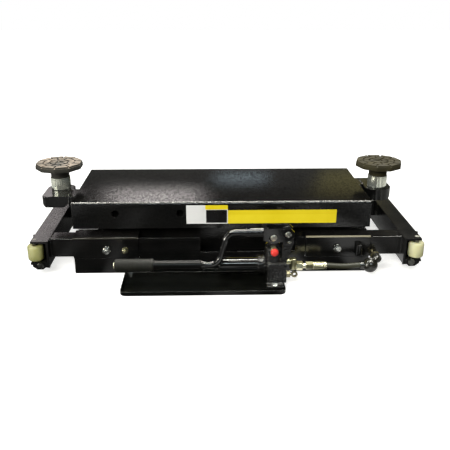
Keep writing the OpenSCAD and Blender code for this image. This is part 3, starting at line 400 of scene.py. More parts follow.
fold = bmesh.new()
add_slab(fold, (-cover_half, -cover_side, cover_foot), (cover_half, cover_side, cover_top))
open_sides = [side for side in fold.faces if abs(side.normal.x) > 0.5 or side.normal.z < -0.5]
bmesh.ops.delete(fold, geom=open_sides, context="FACES")
long_edges = [edge for edge in fold.edges if len(edge.link_faces) == 2]
bmesh.ops.bevel(fold, geom=long_edges, offset=cover_fold, segments=6, profile=0.5,
                affect="EDGES", material=-1)
fold_mesh = bpy.data.meshes.new("folded sheet")
fold.to_mesh(fold_mesh)
fold.free()
sheet = bpy.data.objects.new("folded sheet", fold_mesh)
bpy.context.scene.collection.objects.link(sheet)
wall = sheet.modifiers.new("sheet", "SOLIDIFY")
wall.thickness = cover_wall
wall.offset = -1
wall.use_even_offset = True

drill = bmesh.new()
for hole_x in grease_holes:
    bmesh.ops.create_cone(drill, cap_ends=True, segments=40, radius1=grease_hole_across / 2,
                          radius2=grease_hole_across / 2, depth=0.4,
                          matrix=Matrix.Translation((hole_x, 0, grease_hole_z))
                          @ Matrix.Rotation(math.pi / 2, 4, "X"))
drill_mesh = bpy.data.meshes.new("drill")
drill.to_mesh(drill_mesh)
drill.free()
drill_bit = bpy.data.objects.new("drill", drill_mesh)
bpy.context.scene.collection.objects.link(drill_bit)
drilling = sheet.modifiers.new("holes", "BOOLEAN")
drilling.operation = "DIFFERENCE"
drilling.object = drill_bit
bpy.context.view_layer.update()
finished_sheet = bpy.data.meshes.new_from_object(
    sheet.evaluated_get(bpy.context.evaluated_depsgraph_get()))
bpy.data.objects.remove(drill_bit)
bpy.data.objects.remove(sheet)
drilled = bmesh.new()
drilled.from_mesh(finished_sheet)
stand_in("cover", drilled, cover_coat, 0.0005, 2, 28)


def eased(node, width, finish, steps=2):
    """A copy of a CAD piece with its sharp edges eased, which stands for it."""
    shape = bmesh.new()
    shape.from_mesh(frame["nodes"][node].data)
    bmesh.ops.remove_doubles(shape, verts=shape.verts, dist=0.00002)
    bmesh.ops.dissolve_limit(shape, angle_limit=math.radians(1), verts=shape.verts,
                             edges=shape.edges)
    stand_in(node, shape, finish, width, steps, 25)


# --------------------------------------
# Decals on the cover's front skirt: thin vinyl panels in plain colours, left
# without any lettering or signs.
vinyl_thick = 0.0002
vinyl_yellow = ((0.84, 0.66, 0.015), (0.92, 0.75, 0.03))


def add_vinyl(name, x0, x1, z0, z1, dark, light, lift=0):
    """A thin plain vinyl panel on the front skirt, lift layers up."""
    panel = bmesh.new()
    near = -cover_side - (lift + 1) * vinyl_thick
    add_slab(panel, (x0, near, z0), (x1, near + 2 * vinyl_thick, z1))
    corners = [edge for edge in panel.edges
               if abs(edge.verts[0].co.y - edge.verts[1].co.y) > vinyl_thick]
    bmesh.ops.bevel(panel, geom=corners, offset=0.0012, segments=3, profile=0.5,
                    affect="EDGES", material=-1)
    vinyl = worked_finish(name.replace("_", " "), dark, light, 260, (1, 1, 1), 0.26, 0.36,
                          0.00003)
    set_shader(vinyl, {"Specular IOR Level": 0.2})
    sticker = add_piece(name, panel, vinyl, "platform")


add_vinyl("white_panel", -0.0840, 0.0128, 0.1180, 0.1636, (0.78, 0.79, 0.76), (0.88, 0.88, 0.85))
add_vinyl("white_panel_header", -0.0400, 0.0128, 0.1530, 0.1636, *vinyl_yellow, 1)
add_vinyl("white_panel_note", -0.0380, 0.0110, 0.1200, 0.1520, (0.004, 0.004, 0.004),
          (0.007, 0.007, 0.006), 1)
add_vinyl("yellow_band", 0.0132, 0.2686, 0.1180, 0.1510, *vinyl_yellow)
add_vinyl("yellow_band_header", 0.0132, 0.2686, 0.1400, 0.1510, (0.80, 0.62, 0.012),
          (0.88, 0.71, 0.025), 1)

# --------------------------------------
# Under the cover: the welded channels for the top rollers, the box that guides
# both arms, and the turned pins that the inner legs hang on.
inner_coat = worked_finish("inner coat", (0.0026, 0.0026, 0.0026), (0.0064, 0.0064, 0.0058),
                           300, (1, 1, 1), 0.16, 0.30, 0.00022, 0.08)
set_shader(inner_coat, {"IOR": smooth_black})
eased("top_tracks", 0.0008, inner_coat)
eased("arm_guide", 0.0008, inner_coat)


def plated_finish(name, dark, light, cells, stretch, smooth, rough, depth):
    """A plated or bare metal with tool marks."""
    finish = worked_finish(name, dark, light, cells, stretch, smooth, rough, depth)
    set_shader(finish, {"Metallic": 1})
    return finish


zinc_across = plated_finish("zinc on pins", (0.50, 0.52, 0.52), (0.72, 0.72, 0.66),
                            60, (1, 40, 1), 0.20, 0.34, 0.00004)
ground_steel = plated_finish("ground steel", (0.34, 0.34, 0.33), (0.52, 0.51, 0.49),
                             60, (1, 40, 1), 0.22, 0.38, 0.00004)
eased("top_pivot_pins", 0.0012, zinc_across)

# --------------------------------------
# Lifting arms. Square steel tubes with thick flame-cut head plates welded to
# their ends; gloss black like the rest of the frame, with a little dust on top.
frame_coat = worked_finish("frame coat", (0.0022, 0.0024, 0.0024), (0.0056, 0.0054, 0.0050),
                           420, (1, 1, 1), 0.07, 0.15, 0.00024, 0.05)
set_shader(frame_coat, {"IOR": smooth_black})
eased("left_arm", 0.0035, frame_coat, 4)
eased("right_arm", 0.0035, frame_coat, 4)
eased("left_arm_head", 0.0016, frame_coat, 3)
eased("right_arm_head", 0.0016, frame_coat, 3)

MM = 0.001


def laid(foot, way):
    """Takes a shape made along Z to its foot and turns it along its way."""
    return Matrix.Translation(foot) @ Vector(way).to_track_quat("Z", "Y").to_matrix().to_4x4()


def turn(shape, foot, way, outline, steps=56):
    """Adds a shape turned on a lathe: outline is (radius, distance along way) in mm,
    a closed ring unless it starts on the axis."""
    before = set(shape.verts)
    corners = [shape.verts.new((radius * MM, 0, along * MM)) for radius, along in outline]
    cuts = [shape.edges.new(pair) for pair in zip(corners, corners[1:])]
    if outline[0][0] > 0:
        cuts.append(shape.edges.new((corners[-1], corners[0])))
    bmesh.ops.spin(shape, geom=corners + cuts, cent=(0, 0, 0), axis=(0, 0, 1),
                   dvec=(0, 0, 0), angle=math.tau, steps=steps, use_merge=True)
    added = [vert for vert in shape.verts if vert not in before]
    bmesh.ops.remove_doubles(shape, verts=added, dist=0.000002)
    added = [vert for vert in shape.verts if vert not in before]
    bmesh.ops.transform(shape, matrix=laid(foot, way), verts=added)


ripple_length = 2.3


def add_weld(name, body, seams, across=0.006, coat=None):
    """Fillet welds along straight seams: rods that swell and shrink from ripple to ripple."""
    shape = bmesh.new()
    for seam, (start, end) in enumerate(seams):
        run = (Vector(end) - Vector(start)).length / MM
        ripples = max(2, round(run / ripple_length))
        pitch = run / ripples
        full = across / 2 / MM
        outline = [(0, 0), (full * 0.6, 0)]
        for count in range(ripples):
            thick = full * (1 + 0.06 * math.sin(count * 2.3 + seam) + 0.05 * math.sin(count * 5.1))
            outline += [(thick * 0.84, (count + 0.08) * pitch), (thick, (count + 0.40) * pitch),
                        (thick * 0.95, (count + 0.86) * pitch)]
        outline += [(full * 0.6, run), (0, run)]
        turn(shape, start, Vector(end) - Vector(start), outline, 12)
    bead = add_piece(name, shape, coat or frame_coat, body, 0, 1, 80)


arm_top = 0.1632
arm_foot = 0.1352
weld_short = 0.003
weld_sunk = 0.0008
for arm, weld_x, near_y, far_y in (("left_arm", -0.370, -0.072, -0.010),
                                   ("right_arm", 0.3655, 0.010, 0.072)):
    arm_seams = [((weld_x, near_y + weld_short, arm_top - weld_sunk),
                  (weld_x, far_y - weld_short, arm_top - weld_sunk))]
    for seam_y in (near_y + weld_sunk, far_y - weld_sunk):
        arm_seams.append(((weld_x, seam_y, arm_foot + weld_short),
                          (weld_x, seam_y, arm_top - weld_short)))
    add_weld(arm + "_weld", arm, arm_seams, 0.005)

# --------------------------------------
# Stacking posts. Turned from bar with a stem that drops into the head's bore,
# bright zinc with a faint blue and yellow tint, chamfered at both ends.
post_zinc = plated_finish("post zinc", (0.62, 0.70, 0.66), (0.88, 0.87, 0.70),
                          22, (1, 1, 0.05), 0.10, 0.18, 0.00001)
set_shader(post_zinc, {"Metallic": 0.80})
post_outline = ((0, 0.8), (13.5, 0.8), (15, 2.3), (15, 28), (22.6, 28), (24, 29.4), (24, 53.6),
                (23.6, 54.0), (23.6, 54.8), (24, 55.2), (24, 57.2), (22.9, 58.3), (0, 58.3))
left_pad_x = -0.402
right_pad_x = 0.3975
for side, pad_x in (("left", left_pad_x), ("right", right_pad_x)):
    turned_post = bmesh.new()
    turn(turned_post, (pad_x, 0, arm_foot), (0, 0, 1), post_outline, 72)
    stand_in(side + "_post", turned_post, post_zinc)

# --------------------------------------
# Lifting pads. Moulded rubber with a ten-sided rim and rings of raised blocks,
# on a round neck that fits over the post; the left one's tops are paler, partly from dust and
# partly a painted highlight of glare.
pad_top = 0.2305
pad_sides = 10
block_foot = pad_top - 0.005
low_block_top = pad_top - 0.0004
# The left pad's pale top tone is partly dust, partly painted glare from a lamp at the left.
dust_and_glare_rubber = worked_finish("pad rubber, dust and painted glare", (0.014, 0.014, 0.010), (0.028, 0.026, 0.019),
                             700, (1, 1, 1), 0.70, 0.90, 0.00018, 0.95, (0.68, 0.53, 0.385))
pad_rubber = worked_finish("pad rubber", (0.026, 0.022, 0.010), (0.046, 0.040, 0.018),
                           700, (1, 1, 1), 0.70, 0.90, 0.00018, 0.85, (0.110, 0.090, 0.032))
set_shader(pad_rubber, {"Specular IOR Level": 0.2})
pad_neck = ((0, -37), (21.2, -37), (22.5, -35.7), (22.5, -20), (23.4, -16.2), (28, -14.6),
            (0, -14.6))
pad_rim = ((0, -15.0), (55.0, -15.0), (57.4, -14.2), (58, -12.6), (57.6, -4.6), (56.6, -3.4),
           (0, -3.4))
half_side = math.pi / pad_sides


def add_block(shape, at, angle, reach, inner, outer, foot, top, pad_x):
    """A raised block of the pad: its inner and outer widths, and its reach outwards."""
    block = add_slab(shape, (at - reach / 2, -0.5, foot), (at + reach / 2, 0.5, top))
    for corner in block:
        wide = outer if corner.co.x > at else inner
        corner.co.y = math.copysign(wide / 2, corner.co.y)
        if corner.co.z > (foot + top) / 2:
            corner.co.y *= 0.94
            corner.co.x += 0.0006 if corner.co.x < at else -0.0006
    lay = Matrix.Translation((pad_x, 0, 0)) @ Matrix.Rotation(angle, 4, "Z")
    bmesh.ops.transform(shape, matrix=lay, verts=block)


for side, pad_x, first_angle, rubber in (("left", left_pad_x, 0.0, dust_and_glare_rubber),
                                         ("right", right_pad_x, 0.31, pad_rubber)):
    moulded = bmesh.new()
    turn(moulded, (pad_x, 0, pad_top), (0, 0, 1), pad_neck, 64)
    corners = set(moulded.verts)
    turn(moulded, (0, 0, 0), (0, 0, 1), pad_rim, pad_sides)
    bmesh.ops.transform(moulded, verts=[vert for vert in moulded.verts if vert not in corners],
                        matrix=Matrix.Translation((pad_x, 0, pad_top))
                        @ Matrix.Rotation(first_angle + half_side, 4, "Z"))
    for count in range(pad_sides):
        angle = first_angle + math.tau * count / pad_sides
        add_block(moulded, 0.0466, angle, 0.0158, 0.0228, 0.0326, block_foot, pad_top, pad_x)
        add_block(moulded, 0.0306, angle + half_side, 0.0136, 0.0138, 0.0216, block_foot,
                  low_block_top, pad_x)
    for count in range(pad_sides // 2):
        angle = first_angle + 2 * math.tau * count / pad_sides
        add_block(moulded, 0.0147, angle, 0.0116, 0.0098, 0.0226, block_foot, low_block_top,
                  pad_x)
    stand_in(side + "_pad", moulded, rubber, 0.0006)

# --------------------------------------
# Base frame. Two sheet side plates, two C-channel tracks for the lower rollers
# and four square tube sleeves, all welded together over three flat cross ties.
# A pale highlight is painted along the right front sleeve's upper edge.
eased("side_plates", 0.0004, frame_coat)
eased("side_tracks", 0.0010, frame_coat)
sleeve_coat = frame_coat.copy()
sleeve_coat.name = "sleeve coat with painted highlight"
sleeve_tree = sleeve_coat.node_tree
sleeve_tone = sleeve_tree.nodes["Principled BSDF"].inputs["Base Color"]
sleeve_corner = reckon(sleeve_tree, "SUBTRACT", where(sleeve_tree, "Z"), where(sleeve_tree, "Y"))
# Painted highlight: a thin pale line on the sleeves' top front edge, fading in towards the right.
painted_highlight = reckon(sleeve_tree, "MULTIPLY", ramp(sleeve_tree, sleeve_corner, 0.2462, 0.2467),
                ramp(sleeve_tree, where(sleeve_tree, "X"), 0.12, 0.20, 0.06, 1))
sleeve_tree.links.new(blend(sleeve_tree, painted_highlight, sleeve_tone.links[0].from_socket,
                            (0.40, 0.37, 0.26, 1)), sleeve_tone)
eased("tube_sleeves", 0.0048, sleeve_coat, 5)
eased("cross_ties", 0.0010, frame_coat)

sleeve_in = 0.197
sleeve_out = 0.351
sleeve_top = 0.090
web_face = 0.1076
frame_face = 0.1596
tie_places = (-0.2995, 0, 0.2995)
tie_half = 0.040
tie_seam_y = 0.1540
tie_seam_z = 0.0064
seam_sunk = 0.0006
frame_seams = []
for hand in (-1, 1):
    seam_y = hand * (web_face + seam_sunk)
    for near, far in ((-sleeve_out, -sleeve_in), (sleeve_in, sleeve_out)):
        frame_seams.append(((near + 0.006, seam_y, sleeve_top - seam_sunk),
                            (far - 0.004, seam_y, sleeve_top - seam_sunk)))
    for tie_x in tie_places:
        frame_seams.append(((tie_x - tie_half + weld_short, hand * tie_seam_y, tie_seam_z),
                            (tie_x + tie_half - weld_short, hand * tie_seam_y, tie_seam_z)))
add_weld("frame_welds", "base", frame_seams, 0.0052)

# --------------------------------------
# Shafts and screws of the frame. The lower pivot shaft goes from web to web;
# chamfered hex bolts with short threaded ends clamp the tubes in the sleeves,
# and a smaller screw sits beside the left front one.
bolt_zinc = plated_finish("bolt zinc", (0.52, 0.56, 0.57), (0.78, 0.78, 0.72),
                          420, (1, 1, 1), 0.18, 0.32, 0.00006)

hex_cuts = 36
flat_share = 0.95
chamfer_slope = 0.58


def add_hex(shape, foot, way, across, height, turned=0.0, both=False):
    """Adds a hexagon head or nut from foot along way, its corners cut by a round chamfer
    at its far end or at both ends."""
    half = across * MM / 2
    tall = height * MM
    lay = laid(foot, way) @ Matrix.Rotation(turned, 4, "Z")
    blank = bmesh.ops.create_cone(shape, cap_ends=True, segments=hex_cuts, radius1=half,
                                  radius2=half, depth=tall,
                                  matrix=Matrix.Translation((0, 0, tall / 2)))["verts"]
    high = [vert for vert in blank if vert.co.z > tall / 2]
    caps = [face for face in {face for vert in blank for face in vert.link_faces}
            if abs(face.normal.z) > 0.9 or len(face.verts) == hex_cuts]
    rims = [bmesh.ops.extrude_discrete_faces(shape, faces=[cap])["faces"][0] for cap in caps]
    for vert in blank:
        angle = math.atan2(vert.co.y, vert.co.x)
        reach = half / math.cos((angle % (math.pi / 3)) - math.pi / 6)
        vert.co.x = reach * math.cos(angle)
        vert.co.y = reach * math.sin(angle)
        drop = (reach - half * flat_share) * chamfer_slope
        if vert in high:
            vert.co.z = tall - drop
        elif both:
            vert.co.z = drop
    for rim in rims:
        for vert in rim.verts:
            vert.co.x *= flat_share
            vert.co.y *= flat_share
    made = set(blank)
    for rim in rims:
        made.update(rim.verts)
    bmesh.ops.transform(shape, matrix=lay, verts=list(made))


def add_thread(shape, foot, way, across, height, pitch=1.25):
    """Adds a screw's threaded end, cut as close rings, with a chamfered point."""
    radius = across / 2
    outline = [(0, 0), (radius - 0.08 * pitch, 0)]
    rings = max(1, int((height - 0.8) / pitch))
    for ring in range(rings):
        outline += [(radius, (ring + 0.30) * pitch), (radius, (ring + 0.45) * pitch),
                    (radius - 0.45 * pitch, (ring + 0.80) * pitch),
                    (radius - 0.45 * pitch, (ring + 0.95) * pitch)]
    outline += [(radius - 0.1, rings * pitch + 0.2), (radius - 0.1, height - 0.7),
                (radius - 0.8, height), (0, height)]
    turn(shape, foot, way, outline, 28)


shaft = bmesh.new()
turn(shaft, (0.270, -web_face, 0.055), (0, 1, 0),
     ((0, 0), (10, 0), (11, 1), (11, 214.2), (10, 215.2), (0, 215.2)), 40)
stand_in("base_pivot_shaft", shaft, zinc_across)

clamp_x = 0.272
clamp_z = 0.060
clamps = bmesh.new()
for hand in (-1, 1):
    for bolt_x, turned in ((-clamp_x, 0.25), (clamp_x, -0.12)):
        face_y = hand * frame_face
        turn(clamps, (bolt_x, face_y, clamp_z), (0, hand, 0),
             ((0, 0), (8.6, 0), (8.6, 1.0), (8.2, 1.4), (0, 1.4)), 36)
        add_hex(clamps, (bolt_x, face_y + hand * 0.0014, clamp_z), (0, hand, 0), 16, 6.6, turned)
        add_thread(clamps, (bolt_x, face_y + hand * 0.0078, clamp_z), (0, hand, 0), 8, 4.2)
stand_in("clamp_bolts", clamps, bolt_zinc)

stop_zinc = plated_finish("stop screw zinc", (0.46, 0.44, 0.26), (0.78, 0.75, 0.52),
                          420, (1, 1, 1), 0.18, 0.32, 0.00006)
stop_x = -0.229
stop_z = 0.0585
stop = bmesh.new()
turn(stop, (stop_x, -frame_face, stop_z), (0, -1, 0),
     ((0, 0), (7.4, 0), (7.4, 0.9), (7.0, 1.3), (0, 1.3)), 36)
add_hex(stop, (stop_x, -frame_face - 0.0013, stop_z), (0, -1, 0), 12, 5.4, 0.30)
add_thread(stop, (stop_x, -frame_face - 0.0063, stop_z), (0, -1, 0), 6, 3.2, 1.0)
stop_screw = add_piece("stop_screw", stop, stop_zinc, "base")

# --------------------------------------
# Scissor. Flame-cut flat bars with cross tubes welded between each pair, on
# ground pins; the rollers are turned steel, held by thin collars.
eased("outer_legs", 0.0012, inner_coat, 3)
eased("inner_legs", 0.0012, inner_coat, 3)
eased("outer_cross_tube", 0.0005, inner_coat)
eased("inner_cross_tube", 0.0005, inner_coat)
eased("leg_pins", 0.0008, zinc_across)
eased("rod_shaft", 0.0008, zinc_across)

slide_x = -0.24962
roller_outline = ((11.05, 0), (16.6, 0), (18, 1.4), (18, 9.6), (16.6, 11), (11.05, 11))
for rollers, height in (("top_rollers", 0.143), ("base_rollers", 0.055)):
    outer_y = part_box(rollers)[1][1]
    ring = bmesh.new()
    for hand in (-1, 1):
        turn(ring, (slide_x, hand * outer_y, height), (0, -hand, 0), roller_outline, 48)
    stand_in(rollers, ring, ground_steel)

# --------------------------------------
# Lifting cylinder. A black barrel with a screwed gland, a hard chromed rod, and
# eyes at both ends.
eased("cylinder_barrel", 0.0012, inner_coat, 3)
eased("cylinder_gland", 0.0008, ground_steel)
hard_chrome = plated_finish("hard chrome", (0.70, 0.71, 0.72), (0.80, 0.80, 0.80),
                            500, (0.05, 1, 1), 0.06, 0.10, 0.00001)
eased("cylinder_rod", 0.0006, hard_chrome)

# --------------------------------------
# End rails. Welded angle rails that hang on the lift's runways, with a shelf,
# a rib and a rounded tab at each end, and two square tubes in the sleeves.
rail_coat = worked_finish("rail coat", (0.0024, 0.0026, 0.0025), (0.0062, 0.0060, 0.0055),
                          300, (1, 1, 1), 0.08, 0.18, 0.00045, 0.06)
set_shader(rail_coat, {"IOR": smooth_black})
eased("left_rail", 0.0014, rail_coat, 3)
eased("right_rail", 0.0014, rail_coat, 3)
eased("left_tubes", 0.0044, frame_coat, 5)
eased("right_tubes", 0.0044, frame_coat, 5)
tube_top = 0.0867
tube_foot = 0.0413
tube_near = 0.1109
tube_far = 0.1563
seam_inset = 0.002
rail_ends = (("left", -0.403, -1), ("right", 0.426, 1))
for end, face_x, out in rail_ends:
    tube_seams = []
    for hand in (-1, 1):
        corners = ((tube_near + seam_inset, tube_foot + seam_inset),
                   (tube_far - seam_inset, tube_foot + seam_inset),
                   (tube_far - seam_inset, tube_top - seam_inset),
                   (tube_near + seam_inset, tube_top - seam_inset))
        for first, second in zip(corners, corners[1:] + corners[:1]):
            tube_seams.append(((face_x, hand * first[0], first[1]),
                               (face_x, hand * second[0], second[1])))
    add_weld(end + "_rail_welds", end + "_end", tube_seams, 0.0056, rail_coat)

# --------------------------------------
# Fasteners of the rails: bolts that carry the guide rollers, each with a nut
# under its shelf, the load wheels' axles, and a hex bolt through each tab.
guide_y = 0.164
guide_out = 0.0335
wheel_y = 0.080
wheel_z = 0.060
shelf_foot = 0.032
soiled_zinc = plated_finish("soiled zinc", (0.10, 0.10, 0.09), (0.42, 0.42, 0.38),
                            120, (1, 1, 1), 0.20, 0.40, 0.00012)
for end, face_x, out in rail_ends:
    axle_x = face_x + out * guide_out
    tab_x = axle_x - out * 0.014
    fixings = bmesh.new()
    for hand in (-1, 1):
        turn(fixings, (axle_x, hand * guide_y, shelf_foot), (0, 0, 1),
             ((0, 0), (6, 0), (6, 57.2), (5.2, 58), (0, 58)), 36)
        add_hex(fixings, (axle_x, hand * guide_y, shelf_foot), (0, 0, -1), 17, 6.8, 0.2 * hand)
        turn(fixings, (face_x, hand * wheel_y, wheel_z), (out, 0, 0),
             ((0, 0), (7, 0), (7, 28), (11, 28), (11, 29.2), (10.2, 30), (0, 30)), 36)
        add_hex(fixings, (tab_x, hand * 0.180, shelf_foot), (0, hand, 0), 14, 5.9, 0.35 * hand)
        turn(fixings, (tab_x, hand * 0.1735, shelf_foot), (0, hand, 0),
             ((0, 0), (4, 0), (4, 7), (0, 7)), 28)
    stand_in(end + "_axles", fixings, soiled_zinc)

# --------------------------------------
# Guide rollers. Turned cream nylon with well rounded ends and a shallow relief
# round the bore; the left ones have darkened with use.
def nylon_finish(name, dark, light):
    """Turned nylon: a little light goes into it, and the tool leaves faint rings."""
    finish = worked_finish(name, dark, light, 60, (1, 1, 26), 0.34, 0.48, 0.00008)
    set_shader(finish, {"Subsurface Weight": 0.35, "Subsurface Radius": (1.0, 0.85, 0.5),
                        "Subsurface Scale": 0.004})
    return finish


guide_outline = ((6.05, 1.2), (9, 1.2), (9.6, 0), (13.0, 0), (15.6, 0.9), (17.2, 2.5), (18, 5.0),
                 (18, 33.0), (17.2, 35.5), (15.6, 37.1), (13.0, 38), (9.6, 38), (9, 36.8),
                 (6.05, 36.8))
dark_nylon = nylon_finish("worn nylon", (0.30, 0.30, 0.10), (0.56, 0.55, 0.26))
pale_nylon = nylon_finish("pale nylon", (0.74, 0.72, 0.36), (0.88, 0.86, 0.54))
for (end, face_x, out), nylon in zip(rail_ends, (dark_nylon, pale_nylon)):
    for place, hand in (("front", -1), ("rear", 1)):
        guide = bmesh.new()
        turn(guide, (face_x + out * guide_out, hand * guide_y, 0.039), (0, 0, 1), guide_outline)
        stand_in(end + "_guide_" + place, guide, nylon, 0, 1, 50)

# --------------------------------------
# Load wheels. Turned steel with a raised hub on each side; they roll along the
# runways' lips, under the flanges of the angle rails.
wheel_outline = ((7.05, 0), (11.5, 0), (12, 0.6), (12, 1.6), (17.5, 1.6), (18.5, 0.4), (21, 0.4),
                 (22, 1.6), (22, 16.4), (21, 17.6), (18.5, 17.6), (17.5, 16.4), (12, 16.4),
                 (12, 17.4), (11.5, 18), (7.05, 18))
for end, face_x, out in rail_ends:
    for place, hand in (("front", -1), ("rear", 1)):
        disc = bmesh.new()
        turn(disc, (face_x + out * 0.008, hand * wheel_y, wheel_z), (out, 0, 0), wheel_outline)
        stand_in(end + "_wheel_" + place, disc, ground_steel)

# --------------------------------------
# Pump tray. A pressed steel pan with a round rim, screwed to the frame's side;
# dust settles in it.
tray_coat = worked_finish("tray coat", (0.0022, 0.0025, 0.0022), (0.0050, 0.0053, 0.0044),
                          300, (1, 1, 1), 0.05, 0.10, 0.00022, 0.06, (0.05, 0.055, 0.04))
set_shader(tray_coat, {"IOR": smooth_black, "Specular IOR Level": 0.25})
eased("pump_tray", 0.0009, tray_coat, 3)

# --------------------------------------
# Pump body. A rough iron casting, painted black, with heavily rounded edges,
# and the oil reservoir, a tube with a domed cap, sealed into its side.
cast_coat = worked_finish("cast coat", (0.0025, 0.0025, 0.0023), (0.0070, 0.0068, 0.0060),
                          180, (1, 1, 1), 0.06, 0.16, 0.00300, 0.04)
set_shader(cast_coat, {"IOR": 1.5})
casting = bmesh.new()
casting.from_mesh(frame["nodes"]["pump_body"].data)
pump_body = stand_in("pump_body", casting, cast_coat, 0, 1, 180)
mould = pump_body.modifiers.new("mould", "REMESH")
mould.mode = "VOXEL"
mould.voxel_size = 0.0013
mould.use_smooth_shade = True
fettling = pump_body.modifiers.new("rounding", "SMOOTH")
fettling.factor = 0.5
fettling.iterations = 7

gloss_coat = worked_finish("gloss coat", (0.0022, 0.0024, 0.0024), (0.0046, 0.0046, 0.0042),
                           300, (1, 1, 1), 0.03, 0.07, 0.00010, 0.02)
set_shader(gloss_coat, {"IOR": 1.55})
tank = bmesh.new()
turn(tank, (-0.012, -0.1886, 0.033), (1, 0, 0),
     ((0, 0), (11, 0), (15.4, 0.7), (18.2, 1.9), (19.6, 3.4), (20, 5.2), (20, 9.0), (19.4, 9.6),
      (19.4, 10.4), (20, 11.0), (20, 89.5), (20.0, 92), (16, 92), (16, 116), (0, 116)), 64)
stand_in("reservoir", tank, gloss_coat, 0, 1, 35)

# --------------------------------------
# Gland nut of the plunger, black, with a plain collar; the relief valve in the
# turret's front, passivated to a dull yellow, and the red plastic cap over it.
plunger_x = 0.111
lever_y = -0.2326
gland = bmesh.new()
add_hex(gland, (plunger_x, lever_y, 0.097), (0, 0, 1), 30, 8, 0.12)
turn(gland, (plunger_x, lever_y, 0.1045), (0, 0, 1),
     ((8.1, 0), (12.4, 0), (13, 0.6), (13, 1.7), (12.2, 2.5), (8.1, 2.5)), 48)
stand_in("plunger_gland", gland, gloss_coat, 0.0003)

passivated = plated_finish("yellow passivated zinc", (0.50, 0.42, 0.20), (0.78, 0.70, 0.42),
                           420, (1, 1, 1), 0.20, 0.34, 0.00008)
valve_x = 0.112
valve_z = 0.0935
valve = bmesh.new()
add_hex(valve, (valve_x, -0.2440, valve_z), (0, -1, 0), 15, 14.4, 0.26)
stand_in("relief_valve", valve, passivated, 0.0002)

red_plastic = worked_finish("red plastic", (0.78, 0.030, 0.022), (0.88, 0.055, 0.040),
                            500, (1, 1, 1), 0.26, 0.40, 0.00006)
set_shader(red_plastic, {"Subsurface Weight": 0.15, "Subsurface Radius": (1.0, 0.3, 0.2),
                         "Subsurface Scale": 0.002})
cap_foot = (valve_x, -0.2586, valve_z)
cap = bmesh.new()
turn(cap, cap_foot, (0, -1, 0),
     ((0, 0), (8.3, 0), (8.5, 0.4), (8.5, 5.2), (7.6, 6.8), (6.2, 7.2), (6.0, 7.8), (5.8, 9.0),
      (4.6, 9.9), (0, 10)), 48)


def add_ribs(shape, count, low, high, foot, quarter_turn):
    """Adds a ring of equal ribs, after a quarter turn about X or Y."""
    for step in range(count):
        rib = add_slab(shape, low, high)
        lay = (Matrix.Translation(foot) @ Matrix.Rotation(math.pi / 2, 4, quarter_turn)
               @ Matrix.Rotation(math.tau * step / count, 4, "Z"))
        bmesh.ops.transform(shape, matrix=lay, verts=rib)


add_ribs(cap, 16, (0.0079, -0.0006, 0.0008), (0.00850, 0.0006, 0.0052), cap_foot, "X")
stand_in("relief_cap", cap, red_plastic)

# --------------------------------------
# Pump screws: a hex bolt in the casting's foot, a plug in its top, and the pan
# head that holds the tray.
screws = bmesh.new()
turn(screws, (0.115, -0.2626, 0.015), (0, 0, 1),
     ((0, 0), (7.4, 0), (7.4, 1.2), (7.0, 1.5), (0, 1.5)), 36)
add_hex(screws, (0.115, -0.2626, 0.0165), (0, 0, 1), 12.8, 4.4, 0.3)
add_hex(screws, (0.107, -0.1756, 0.062), (0, 0, 1), 10, 5, 0.1)
turn(screws, (-0.218, -0.1736, 0.003), (0, 0, 1),
     ((0, 0), (7, 0), (7, 1.8), (6.2, 3.2), (4.2, 4), (0, 4)), 40)
stand_in("pump_bolts", screws, bolt_zinc)

# --------------------------------------
# Pump lever. Two flame-cut plates with a socket for the handle's crank rod and
# a set screw, on a riveted fulcrum pin; all black but for the pins.
eased("pump_lever", 0.0011, gloss_coat, 3)
rivet_steel = plated_finish("rivet steel", (0.20, 0.20, 0.18), (0.42, 0.41, 0.36),
                            380, (1, 1, 1), 0.22, 0.36, 0.00010)
head_out = 0.0174
pin_foot = -0.2500
pin_outline = ((0, 0), (4, 0), (4, 34.8), (0, 34.8))
plunger_pin_z = 0.123
rivets = bmesh.new()
dome = ((0, 0), (7, 0), (6.9, 0.7), (6.2, 1.3), (4.6, 2.1), (2.6, 2.5), (0, 2.6))
small_dome = ((0, 0), (4.5, 0), (4.3, 0.7), (3.4, 1.6), (1.8, 2.3), (0, 2.5))
turn(rivets, (0.143, pin_foot, 0.1305), (0, 1, 0), pin_outline, 32)
for hand in (-1, 1):
    turn(rivets, (0.143, lever_y + hand * head_out, 0.1305), (0, hand, 0), dome, 40)
    turn(rivets, (0.147, lever_y + hand * 0.0120, 0.1105), (0, hand, 0), small_dome, 32)
stand_in("fulcrum_pins", rivets, rivet_steel)
plunger_chrome = plated_finish("plunger chrome", (0.66, 0.67, 0.67), (0.78, 0.78, 0.77),
                               500, (1, 1, 0.05), 0.08, 0.14, 0.00001)
ram = bmesh.new()
turn(ram, (plunger_x, lever_y, 0.040), (0, 0, 1),
     ((0, 0), (7.2, 0), (8, 0.8), (8, 83), (0, 83)), 40)
turn(ram, (plunger_x, -0.2446, plunger_pin_z), (0, 1, 0),
     ((0, 0), (6.6, 0), (7, 0.6), (7, 23.4), (6.6, 24), (0, 24)), 40)
turn(ram, (plunger_x, pin_foot, plunger_pin_z), (0, 1, 0), pin_outline, 32)
stand_in("pump_plunger", ram, plunger_chrome)
heads = bmesh.new()
for hand in (-1, 1):
    turn(heads, (plunger_x, lever_y + hand * head_out, plunger_pin_z), (0, hand, 0), dome, 40)
plunger_heads = add_piece("plunger_pin_heads", heads, rivet_steel, "plunger")

